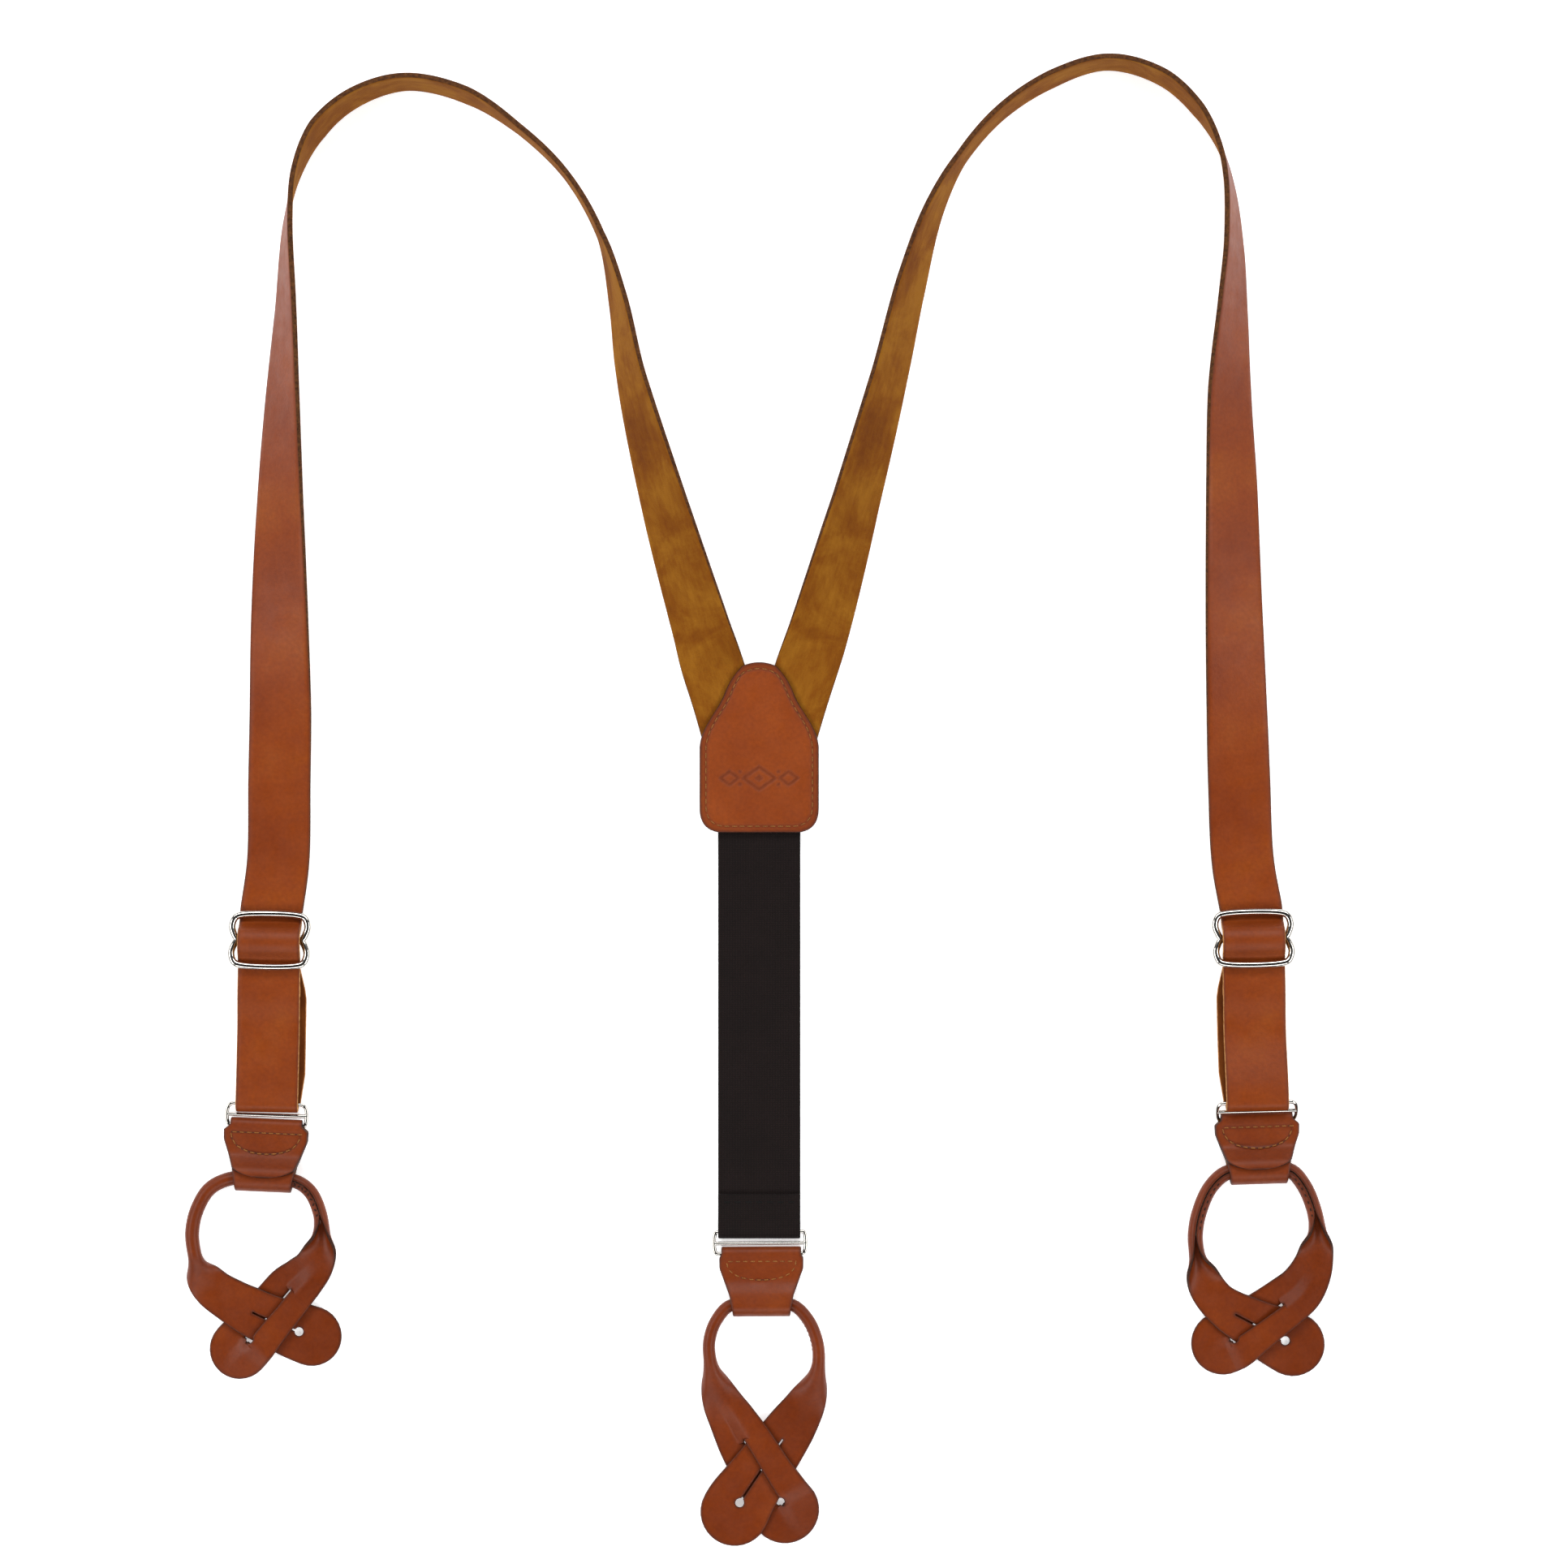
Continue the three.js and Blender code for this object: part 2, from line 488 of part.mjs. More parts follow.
// The front holders show the sewn flap on top.
function frontHolder(group, name, foldHalf, { tube, depth }) {
  const tubeZ = tubeHeight(tube);
  const tubeTop = tubeZ + tubeBend(tube);
  const topLayer = holderHalf + 2 * holderLayer;
  const flapEnd = -depth + 1.1;
  const flap = smooth([
    v2(flapEnd, tubeTop + holderLayer - 0.2), v2(flapEnd + 2.6, tubeTop + holderLayer - 0.9),
    v2(flapEnd + 5.6, tubeTop + holderLayer - 3.6), v2(flapEnd + 9, topLayer + 0.5),
    v2(-7, topLayer), v2(0, holderBarZ + holderBend),
  ], 13);
  const back = [0, 0.25, 0.5, 0.75, 1].map((k) => v2(-depth * k, holderHalf));
  const tail = smooth([
    v2(-depth, tubeTop), v2(flapEnd + 2.6, tubeTop - 0.9), v2(flapEnd + 5.6, tubeTop - 3.7),
    v2(flapEnd + 9, holderHalf + holderLayer + 0.4), v2(-8.5, holderHalf + holderLayer),
    v2(HOLDER_TAIL, holderHalf + holderLayer),
  ], 11);
  holderStrip(group, name, foldHalf, flap, [
    arcPoints(v2(0, holderBarZ), holderBend, 90, -90, 6),
    back,
    arcPoints(v2(-depth, tubeZ), tubeBend(tube), 270, 90, 8),
    tail,
  ]);
}

// The back holder lies plain side up, with its shorter flap underneath.
function backHolder(group, name, foldHalf, { tube, depth }) {
  const tubeZ = tubeHeight(tube);
  const tubeTop = tubeZ + tubeBend(tube);
  const topLayer = holderHalf + 2 * holderLayer;
  const flapEnd = -14.5;
  const flap = [flapEnd, flapEnd + 1.2, flapEnd + 2.8, -7, 0].map((y) => v2(y, holderHalf));
  const plain = smooth([
    v2(0, holderBarZ + holderBend), v2(-7, topLayer), v2(-11.5, topLayer + 0.5),
    v2(-16, tubeTop - 1.1), v2(-depth, tubeTop),
  ], 12);
  const tail = smooth([
    v2(-depth, holderHalf), v2(-depth + 2.4, holderHalf + 0.4),
    v2(flapEnd - 1.3, holderHalf + holderLayer - 0.2),
    v2(flapEnd + 2, holderHalf + holderLayer), v2(-8, holderHalf + holderLayer),
    v2(HOLDER_TAIL, holderHalf + holderLayer),
  ], 11);
  holderStrip(group, name, foldHalf, flap, [
    arcPoints(v2(0, holderBarZ), holderBend, -90, 90, 6),
    plain,
    arcPoints(v2(-depth, tubeZ), tubeBend(tube), 90, 270, 8),
    tail,
  ]);
}

// The seam is D-shaped: straight below the ring, round towards the loop.
function holderSeam(group, name, from, to) {
  const inset = 3;
  const half = 17 - inset;
  const shape = new THREE.Shape();
  shape.moveTo(-half, -from);
  shape.bezierCurveTo(-half, -(from + to) / 2 - 2, -half / 2, -to, 0, -to);
  shape.bezierCurveTo(half / 2, -to, half, -(from + to) / 2 - 2, half, -from);
  const climb = (y) => SEAM_CLIMB * THREE.MathUtils.smoothstep(-y, (from + to) / 2, to);
  const seamZ = holderTop + GAP + THREAD;
  const seam = shape.getPoints(6).map((p) => v3(p.x, p.y, seamZ + climb(p.y)));
  addMesh(group, name, roundWire(seam, THREAD, 4, true), TAN_THREAD);
}

// ---- button loops ----------------------------------------------------------------------------

// Each loop is one strip of leather: a flat round end, a stretch rolled round a cord core, and a
// second flat round end. One end passes through the slit of the other.
// x, y, layer, width, curl, lift. x and y are from the middle of the rolled stretch, in the holder.
// Tube is the rolled part's outer radius, and depth its distance below the ring's lower bar.
// Layer counts leather layers up from the table. Curl is 0 flat and 1 rolled, where the width
// follows from the roll. Lift is 1 where the slit's halves stand fully apart.
const LEFT_LOOP = {
  tube: 2.85,
  depth: 21.9,
  rolls: [0, 180],
  raise: -1,
  slits: [{ from: 2.9, hole: 0.65 }, { from: 20, hole: 23 }],
  threadRows: [14.2, 16],
  rows: [
    [22, -63, 0, 24.4, 0, 0], [14, -60.5, 0.3, 23.3, 0, 0], [5.5, -57.5, 1, 21, 0, 0],
    [-3, -54, 1, 20, 0, 0], [-11, -50, 1, 18, 0, 0], [-18.5, -45.5, 1, 16.5, 0, 0],
    [-24, -39.5, 1.25, 15, 0.35, 0], [-26.5, -32, 1, 0, 1, 0], [-28, -23, 1, 0, 1, 0],
    [-26.5, -13.5, 1, 0, 1, 0], [-21.5, -4.5, 1, 0, 1, 0], [-12.5, 0, 1, 0, 1, 0],
    [0, 0, 1, 0, 1, 0], [12.5, 0, 1, 0, 1, 0], [19, -4, 1, 0, 1, 0], [23.5, -13, 1, 0, 1, 0],
    [24.5, -21, 1, 13, 0.7, 0], [24, -28, 1, 14.3, 0.2, 0], [21.5, -34.5, 1, 16.2, 0, 0.25],
    [17.5, -39.5, 1, 18.5, 0, 0.8], [12.7, -44.5, 1, 20.8, 0, 1], [7.5, -51.3, 1, 21.5, 0, 1],
    [2.2, -58, 1, 22.5, 0, 1], [-3.2, -65, 1, 24, 0, 1], [-7, -69.5, 0.5, 24.4, 0, 0.5],
  ],
};
const RIGHT_LOOP = {
  tube: 3.1,
  depth: 21.1,
  rolls: [180, 180],
  raise: -1,
  slits: [{ from: 2.8, hole: 0.35 }, { from: 20, hole: 23 }],
  threadRows: [14.2, 16],
  rows: [
    [12, -71, 0, 26, 0, 0], [3.5, -66.5, 0.3, 24, 0, 0], [-4.5, -61.7, 1, 20.5, 0, 0],
    [-12.5, -57, 1, 18, 0, 0], [-18, -52.5, 1, 16, 0, 0], [-22, -47, 1, 15, 0, 0],
    [-24.5, -40.5, 1, 14, 0.3, 0], [-26, -33.5, 1, 13.4, 0.8, 0], [-26.5, -25, 1, 0, 1, 0],
    [-24.5, -15.5, 1, 0, 1, 0], [-19.5, -5.5, 1, 0, 1, 0], [-12.5, 0, 1, 0, 1, 0],
    [0, 0, 1, 0, 1, 0], [12.5, 0, 1, 0, 1, 0], [18, -6, 1, 0, 1, 0], [22, -16.5, 1, 0, 1, 0],
    [23, -25, 1, 13.4, 0.7, 0], [22.5, -33, 1, 14.3, 0.1, 0], [20.3, -41, 1, 17, 0, 0.25],
    [15.5, -48.7, 1, 19.5, 0, 0.8], [8.2, -54.4, 1, 20.6, 0, 1], [1.4, -59, 1, 21.5, 0, 1],
    [-5.5, -63.5, 1, 23, 0, 1], [-12.2, -67.6, 1, 25.2, 0, 1], [-16.5, -69.6, 0.5, 25.6, 0, 0.5],
  ],
};
const BACK_LOOP = {
  tube: 2.5,
  depth: 20.8,
  rolls: [0, 0],
  raise: 1,
  slits: [{ from: 3.1, hole: 0.55 }, { from: 18.7, hole: 22.2 }],
  threadRows: [14.2, 16],
  rows: [
    [9, -83.3, 0.5, 28, 0, 0.5], [5.6, -77.3, 1, 26, 0, 1], [0.8, -69.3, 1, 24, 0, 1],
    [-6.8, -56.3, 1, 22.4, 0, 1], [-11.8, -47.3, 1, 19.5, 0, 0.8], [-16.3, -39.2, 1, 16.5, 0.15, 0.25],
    [-19.3, -31, 1.2, 14, 0.45, 0], [-21, -22.5, 1, 0, 0.9, 0], [-21.3, -14.5, 1, 0, 1, 0],
    [-18.5, -6.3, 1, 0, 1, 0], [-12.5, 0, 1, 0, 1, 0], [0, 0, 1, 0, 1, 0], [12.5, 0, 1, 0, 1, 0],
    [19, -6.3, 1, 0, 1, 0], [22.6, -15.5, 1, 0, 1, 0], [23, -24, 1, 0, 0.9, 0],
    [21.2, -32.8, 1.2, 14, 0.45, 0], [17.4, -41, 1, 16.8, 0.1, 0], [12.3, -49, 1, 20, 0, 0],
    [6.5, -57.4, 1, 22, 0, 0], [1, -65.2, 1, 23.4, 0, 0], [-4.2, -72.7, 1, 25.2, 0, 0],
    [-8.8, -79.6, 1, 27.4, 0, 0], [-11.3, -84, 1, 28, 0, 0],
  ],
};

const LOOP_COLUMNS = [-1, -0.66, -0.33, 0, 0, 0.33, 0.66, 1];
const CENTRE_CELL = 3;
const DISC_STEPS = [20, 42, 60, 75, 86];

class LoopStrip {
  constructor(spec, tubeZ) {
    this.spec = spec;
    this.tubeZ = tubeZ;
    this.last = spec.rows.length - 1;
    this.rollRadius = spec.tube - LOOP_THICK / 2;
    this.plan = new THREE.CatmullRomCurve3(spec.rows.map(([x, y]) => v3(x, y, 0)), false, 'centripetal');
    this.middle = spec.rows.findIndex(([x]) => x === 0);
  }

  // Reads column k of the rows at a fractional row number, smoothly.
  read(k, row) {
    const i = Math.min(Math.floor(row), this.last - 1);
    const value = (n) => {
      const entry = this.spec.rows[THREE.MathUtils.clamp(n, 0, this.last)];
      return k === 3 && entry[3] === 0 ? this.rollRadius * CURL_ANGLE : entry[k];
    };
    const [a, b, c, d] = [value(i - 1), value(i), value(i + 1), value(i + 2)];
    const t = row - i;
    const slopes = [(c - a) / 2, (d - b) / 2].map((m) => (b === c ? 0 : m));
    const t2 = t * t;
    const t3 = t2 * t;
    return (2 * t3 - 3 * t2 + 1) * b + (t3 - 2 * t2 + t) * slopes[0]
      + (3 * t2 - 2 * t3) * c + (t3 - t2) * slopes[1];
  }

  // Everything a cross-section needs at a fractional row number.
  section(row) {
    const along = this.plan.getTangent(row / this.last);
    const curl = THREE.MathUtils.clamp(this.read(4, row), 0, 1);
    const flatZ = LOOP_THICK / 2 + this.read(2, row) * loopLayer;
    const point = this.plan.getPoint(row / this.last);
    point.z = flatZ + (this.tubeZ - flatZ) * curl;
    const turn = THREE.MathUtils.smoothstep(row, this.middle - 1, this.middle + 1);
    const [first, second] = this.spec.rolls;
    const roll = THREE.MathUtils.degToRad(first + (second - first) * turn);
    const lift = THREE.MathUtils.clamp(this.read(5, row), 0, 1);
    return { along, point, curl, roll, lift, width: this.read(3, row), slitHalf: SLIT_HALF, row };
  }

  // Sections at each row, at the slits' ends and round their holes, then round each flat end.
  sections() {
    const extra = this.spec.slits.flatMap(({ from, hole }) => {
      const speed = this.plan.getPoint((hole + 0.1) / this.last)
        .distanceTo(this.plan.getPoint((hole - 0.1) / this.last)) / 0.2;
      const away = Math.sign(hole - from);
      return [{ row: from }, ...[-0.96, -0.6, 0, 0.6, 0.96].map((share) => ({
        row: hole + (away * share * HOLE_RADIUS) / speed,
        slitHalf: HOLE_RADIUS * Math.sqrt(1 - share * share),
      }))];
    });
    const turning = this.spec.rolls[0] === this.spec.rolls[1] ? [] : [-0.67, -0.33, 0.33, 0.67];
    extra.push(...turning.map((away) => ({ row: this.middle + away })));
    const plain = this.spec.rows.map((_, row) => ({ row }));
    const kept = plain.filter(({ row }) => extra.every((e) => Math.abs(e.row - row) > 0.17));
    const rows = [...kept, ...extra].sort((a, b) => a.row - b.row);
    const body = rows.map((entry) => ({ ...this.section(entry.row), ...entry }));
    return [...this.roundEnd(0, -1).reverse(), ...body, ...this.roundEnd(this.last, 1)];
  }

  // Sections beyond a flat end's centre, which round it off and bring it down to its rest.
  roundEnd(row, sign) {
    const centre = this.section(row);
    const radius = centre.width / 2;
    const settles = centre.lift > 0;
    return DISC_STEPS.map((deg) => {
      const angle = THREE.MathUtils.degToRad(deg);
      const share = Math.sin(angle);
      const point = centre.point.clone().addScaledVector(centre.along, sign * radius * share);
      if (settles) point.z += (LOOP_THICK / 2 - point.z) * share;
      return {
        ...centre,
        point,
        lift: centre.lift * (1 - share),
        width: 2 * radius * Math.cos(angle),
        row: row + sign * share,
      };
    });
  }

  inSlit(row) {
    return this.spec.slits.some(({ from, hole }) => {
      const reach = this.holeReach(from, hole);
      return row >= Math.min(from, reach) - 1e-6 && row <= Math.max(from, reach) + 1e-6;
    });
  }

  holeReach(from, hole) {
    const speed = this.plan.getPoint((hole + 0.1) / this.last)
      .distanceTo(this.plan.getPoint((hole - 0.1) / this.last)) / 0.2;
    return hole + (Math.sign(hole - from) * 0.96 * HOLE_RADIUS) / speed;
  }

  solid() {
    const sections = this.sections();
    const faces = [1, -1].map((side) => sections.map((s) => this.line(s, side)));
    const isOpen = (i, j) => j === CENTRE_CELL
      && this.inSlit((sections[i].row + sections[i + 1].row) / 2);
    return sheetSolid(faces[0], faces[1], isOpen);
  }

  // One line of points across the strip, on one face.
  line(s, side) {
    const level = s.along.clone().cross(UP).normalize();
    const up = level.clone().cross(s.along);
    const normal = up.clone().multiplyScalar(Math.cos(s.roll)).addScaledVector(level, Math.sin(s.roll));
    const across = level.clone().multiplyScalar(Math.cos(s.roll)).addScaledVector(up, -Math.sin(s.roll));
    const middle = s.point.clone().addScaledVector(normal, this.rollRadius * s.curl);
    const half = s.width / 2;
    const slit = Math.min(s.slitHalf, half * 0.3);
    const radius = s.curl > 0.01 ? s.width / (CURL_ANGLE * s.curl) : 0;
    const ramp = this.inSlit(s.row) ? slit : Math.min(2.5, half * 0.5);
    return LOOP_COLUMNS.map((share, j) => {
      const out = j <= CENTRE_CELL ? -1 : 1;
      const place = out * slit + share * (half - slit);
      const angle = radius > 0 ? place / radius : 0;
      const radial = normal.clone().multiplyScalar(Math.cos(angle)).addScaledVector(across, Math.sin(angle));
      const q = middle.clone().addScaledVector(radial, (side * LOOP_THICK) / 2);
      if (radius > 0) {
        q.addScaledVector(normal, radius * (Math.cos(angle) - 1));
        q.addScaledVector(across, radius * Math.sin(angle));
      } else {
        q.addScaledVector(across, place);
      }
      const lateral = place * across.dot(level);
      q.z += this.spec.raise * s.lift * loopLayer * THREE.MathUtils.clamp(lateral / ramp, -1, 1);
      return q;
    });
  }
}

function buttonLoop(group, prefix, spec) {
  const strip = new LoopStrip(spec, tubeHeight(spec.tube));
  addMesh(group, `${prefix}_button_loop`, strip.solid(), GRAIN);
  const rolled = spec.rows.flatMap(([, , , , curl], row) => (curl === 1 ? [row] : []));
  const coreLine = rolled.map((row) => strip.section(row).point);
  const coreRadius = (spec.tube - LOOP_THICK) * CORE_SHARE;
  addMesh(group, `${prefix}_loop_core`, roundWire(coreLine, coreRadius, 6), CORD);
  const [from, to] = spec.threadRows;
  const seamLine = Array.from({ length: 6 }, (_, i) => {
    const { point } = strip.section(from + ((to - from) * i) / 5);
    return point.addScaledVector(UP, spec.tube + GAP + THREAD);
  });
  addMesh(group, `${prefix}_loop_thread`, roundWire(seamLine, THREAD, 4), TAN_THREAD);
}

// ---- assembly --------------------------------------------------------------------------------

const turned = (parent, x, y, degrees) => {
  const group = new THREE.Group();
  group.position.set(x, y, 0);
  group.rotation.z = THREE.MathUtils.degToRad(degrees);
  parent.add(group);
  return group;
};

function frontDrop(harness, side, spec) {
  const { x, y, turn, ringTurn, holderTurn, ringTilt } = SIDES[side];
  const rise = frontRingZ - holderBarZ;
  const tilt = ringTilt === null ? Math.asin(rise / ringHeight) : THREE.MathUtils.degToRad(ringTilt);
  const ringZ = holderBarZ + ringHeight * Math.sin(tilt);
  const drop = turned(harness, x, y, turn);
  slide(drop, side);
  strapLoop(drop, side, ringZ);
  const innerHalf = STRAP_WIDTH / 2 + FRONT_RING_SIDE_GAP;
  const ringSpot = turned(drop, 0, -DROP_LENGTH, ringTurn);
  const lifted = new THREE.Group();
  lifted.position.z = ringZ;
  ringSpot.add(lifted);
  ring(lifted, `${side}_ring`, innerHalf, tilt);
  const holder = turned(ringSpot, 0, -ringHeight * Math.cos(tilt), holderTurn);
  frontHolder(holder, `${side}_holder`, innerHalf - HOLDER_FOLD_GAP, spec);
  holderSeam(holder, `${side}_holder_thread`, 3, 11.5);
  buttonLoop(turned(holder, 0, -spec.depth, 0), side, spec);
}

function backDrop(harness) {
  const ringY = elasticBand(harness);
  const innerHalf = ELASTIC_WIDTH / 2 + BACK_RING_SIDE_GAP;
  const tilt = Math.asin((backRingZ - holderBarZ) / ringHeight);
  const ringSpot = turned(harness, 0.25, ringY, 0.6);
  const lifted = new THREE.Group();
  lifted.position.z = backRingZ;
  ringSpot.add(lifted);
  ring(lifted, 'back_ring', innerHalf, tilt);
  const holder = turned(ringSpot, 0.5, -ringHeight * Math.cos(tilt), -0.3);
  const foldHalf = STRAP_WIDTH / 2 + FRONT_RING_SIDE_GAP - HOLDER_FOLD_GAP + 1.6;
  backHolder(holder, 'back_holder', foldHalf, BACK_LOOP);
  holderSeam(holder, 'back_holder_thread', 3, 10.5);
  buttonLoop(turned(holder, 0, -BACK_LOOP.depth, 0), 'back', BACK_LOOP);
}

const suspenders = new THREE.Group();
yoke(suspenders);
straps(suspenders);
backDrop(suspenders);
frontDrop(suspenders, 'left', LEFT_LOOP);
frontDrop(suspenders, 'right', RIGHT_LOOP);

export default suspenders;
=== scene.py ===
"""Button-on suspenders in bridle leather, laid flat with the inner side of the yoke up.

Lengths are in millimetres until a mesh is made, when they are turned to metres.
"""

import json
import math

import bpy
import numpy as np
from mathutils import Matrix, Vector


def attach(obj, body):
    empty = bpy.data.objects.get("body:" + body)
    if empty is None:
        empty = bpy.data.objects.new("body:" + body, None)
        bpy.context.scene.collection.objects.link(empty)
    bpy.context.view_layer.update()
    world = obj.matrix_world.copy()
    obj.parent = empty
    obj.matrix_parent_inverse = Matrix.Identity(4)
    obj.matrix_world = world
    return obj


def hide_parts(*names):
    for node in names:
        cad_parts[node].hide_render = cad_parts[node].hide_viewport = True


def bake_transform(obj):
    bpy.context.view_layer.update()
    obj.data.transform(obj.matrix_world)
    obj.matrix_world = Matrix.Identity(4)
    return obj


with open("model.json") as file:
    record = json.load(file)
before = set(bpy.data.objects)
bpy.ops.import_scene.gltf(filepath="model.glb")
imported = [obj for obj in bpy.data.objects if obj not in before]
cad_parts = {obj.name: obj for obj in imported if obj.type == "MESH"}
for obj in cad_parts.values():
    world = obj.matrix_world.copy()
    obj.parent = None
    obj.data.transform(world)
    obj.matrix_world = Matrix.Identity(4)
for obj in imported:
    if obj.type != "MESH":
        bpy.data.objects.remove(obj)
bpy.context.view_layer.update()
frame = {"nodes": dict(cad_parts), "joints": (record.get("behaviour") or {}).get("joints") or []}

MM = 0.001
JOINTS = {joint["name"]: joint for joint in frame["joints"]}

# ---- sizes, the same as the model's -----------------------------------------------------------

GAP = 0.3
BEND_GAP = 0.45
STRAP_WIDTH = 25.4
STRAP_THICK = 2.2
SKIVED_THICK = 1.2
WRAP_WIDTH = 23.0
FLAP_LENGTH = 23.0
DROP_LENGTH = 66.5
RETURN_SHIFT = 2.4
ELASTIC_WIDTH = 33.4
ELASTIC_THICK = 1.5
ELASTIC_LENGTH = 187.2
ELASTIC_RETURN = 15.3
ELASTIC_START = -9.5
PATCH_THICK = 1.6
YOKE_TOP = 34.6
YOKE_HALF_WIDTH = 24.2
STITCH_INSET = 2.6
SLIDE_WIRE = 1.45
SLIDE_BAR = 0.8
SLIDE_PITCH = 10.4
SLIDE_SIDE_GAP = 1.25
RING_WIRE = 0.8
RING_UPPER = 4.6
RING_HEIGHT = 8.8
RING_CORNER = 1.4
FRONT_RING_CORNER = 3.2
FRONT_RING_HALF = STRAP_WIDTH / 2 + 2.7
BACK_RING_HALF = ELASTIC_WIDTH / 2 + 1.1
HOLDER_THICK = 1.6
HOLDER_FOLD_GAP = 0.8
TUBE_GAP = 0.5
LOOP_THICK = 1.4
CURL_ANGLE = math.radians(357.5)
HOLE_RADIUS = 1.75
SLIT_HALF = 0.25
THREAD = 0.27

YOKE_LAYER = PATCH_THICK + GAP
INNER_PATCH_Z = YOKE_LAYER + STRAP_THICK + GAP
STRAP_REST = STRAP_THICK / 2
FLAP_Z = STRAP_THICK + GAP + SKIVED_THICK / 2
COVER_Z = FLAP_Z + SKIVED_THICK / 2 + 2 * GAP + STRAP_THICK / 2
LOWER_BAR_Z = COVER_Z + STRAP_THICK / 2 + GAP + SLIDE_WIRE
UPPER_BAR_Z = STRAP_THICK + GAP + SLIDE_WIRE
SLIDE_Z = (LOWER_BAR_Z + UPPER_BAR_Z) / 2
SLIDE_TILT = math.asin((LOWER_BAR_Z - UPPER_BAR_Z) / (2 * SLIDE_PITCH))
SLIDE_REACH = SLIDE_PITCH * math.cos(SLIDE_TILT)
FRONT_RING_Z = STRAP_THICK + BEND_GAP + RING_WIRE
BACK_RING_Z = ELASTIC_THICK + BEND_GAP + RING_WIRE
HOLDER_BAR_Z = HOLDER_THICK + BEND_GAP + RING_WIRE
HOLDER_BEND = RING_WIRE + BEND_GAP + HOLDER_THICK / 2
HOLDER_LAYER = HOLDER_THICK + GAP
LOOP_LAYER = LOOP_THICK + GAP

# ---- materials --------------------------------------------------------------------------------


def rgb(text):
    """Linear colour of an sRGB hex value."""
    parts = [int(text[i:i + 2], 16) / 255 for i in (1, 3, 5)]
    return [p / 12.92 if p <= 0.04045 else ((p + 0.055) / 1.055) ** 2.4 for p in parts] + [1.0]


def per_mm(size):
    """Texture scale that gives a pattern this many millimetres across."""
    return 1 / (size * MM)


def add(tree, kind, inputs=None, ramp=None, **settings):
    """Adds a node with its settings, and fills or links its inputs."""
    made = tree.nodes.new("ShaderNode" + kind)
    for key, value in settings.items():
        setattr(made, key, value)
    for key, value in (inputs or {}).items():
        if isinstance(value, bpy.types.NodeSocket):
            tree.links.new(value, made.inputs[key])
        else:
            made.inputs[key].default_value = value
    if ramp:
        stops = made.color_ramp.elements
        while len(stops) < len(ramp):
            stops.new(1.0)
        for stop, (place, colour) in zip(stops, ramp):
            stop.position = place
            stop.color = rgb(colour)
    return made


def new_material(name):
    """A material with a bare Principled shader, and the two to work on."""
    made = bpy.data.materials.new(name)
    made.use_nodes = True
    tree = made.node_tree
    shader = next(n for n in tree.nodes if n.type == "BSDF_PRINCIPLED")
    return made, tree, shader


def plug(tree, shader, **sockets):
    """Sets or links the shader's own sockets; underscores stand for spaces."""
    for key, value in sockets.items():
        socket = shader.inputs[key.replace("_", " ")]
        if isinstance(value, bpy.types.NodeSocket):
            tree.links.new(value, socket)
        else:
            socket.default_value = value


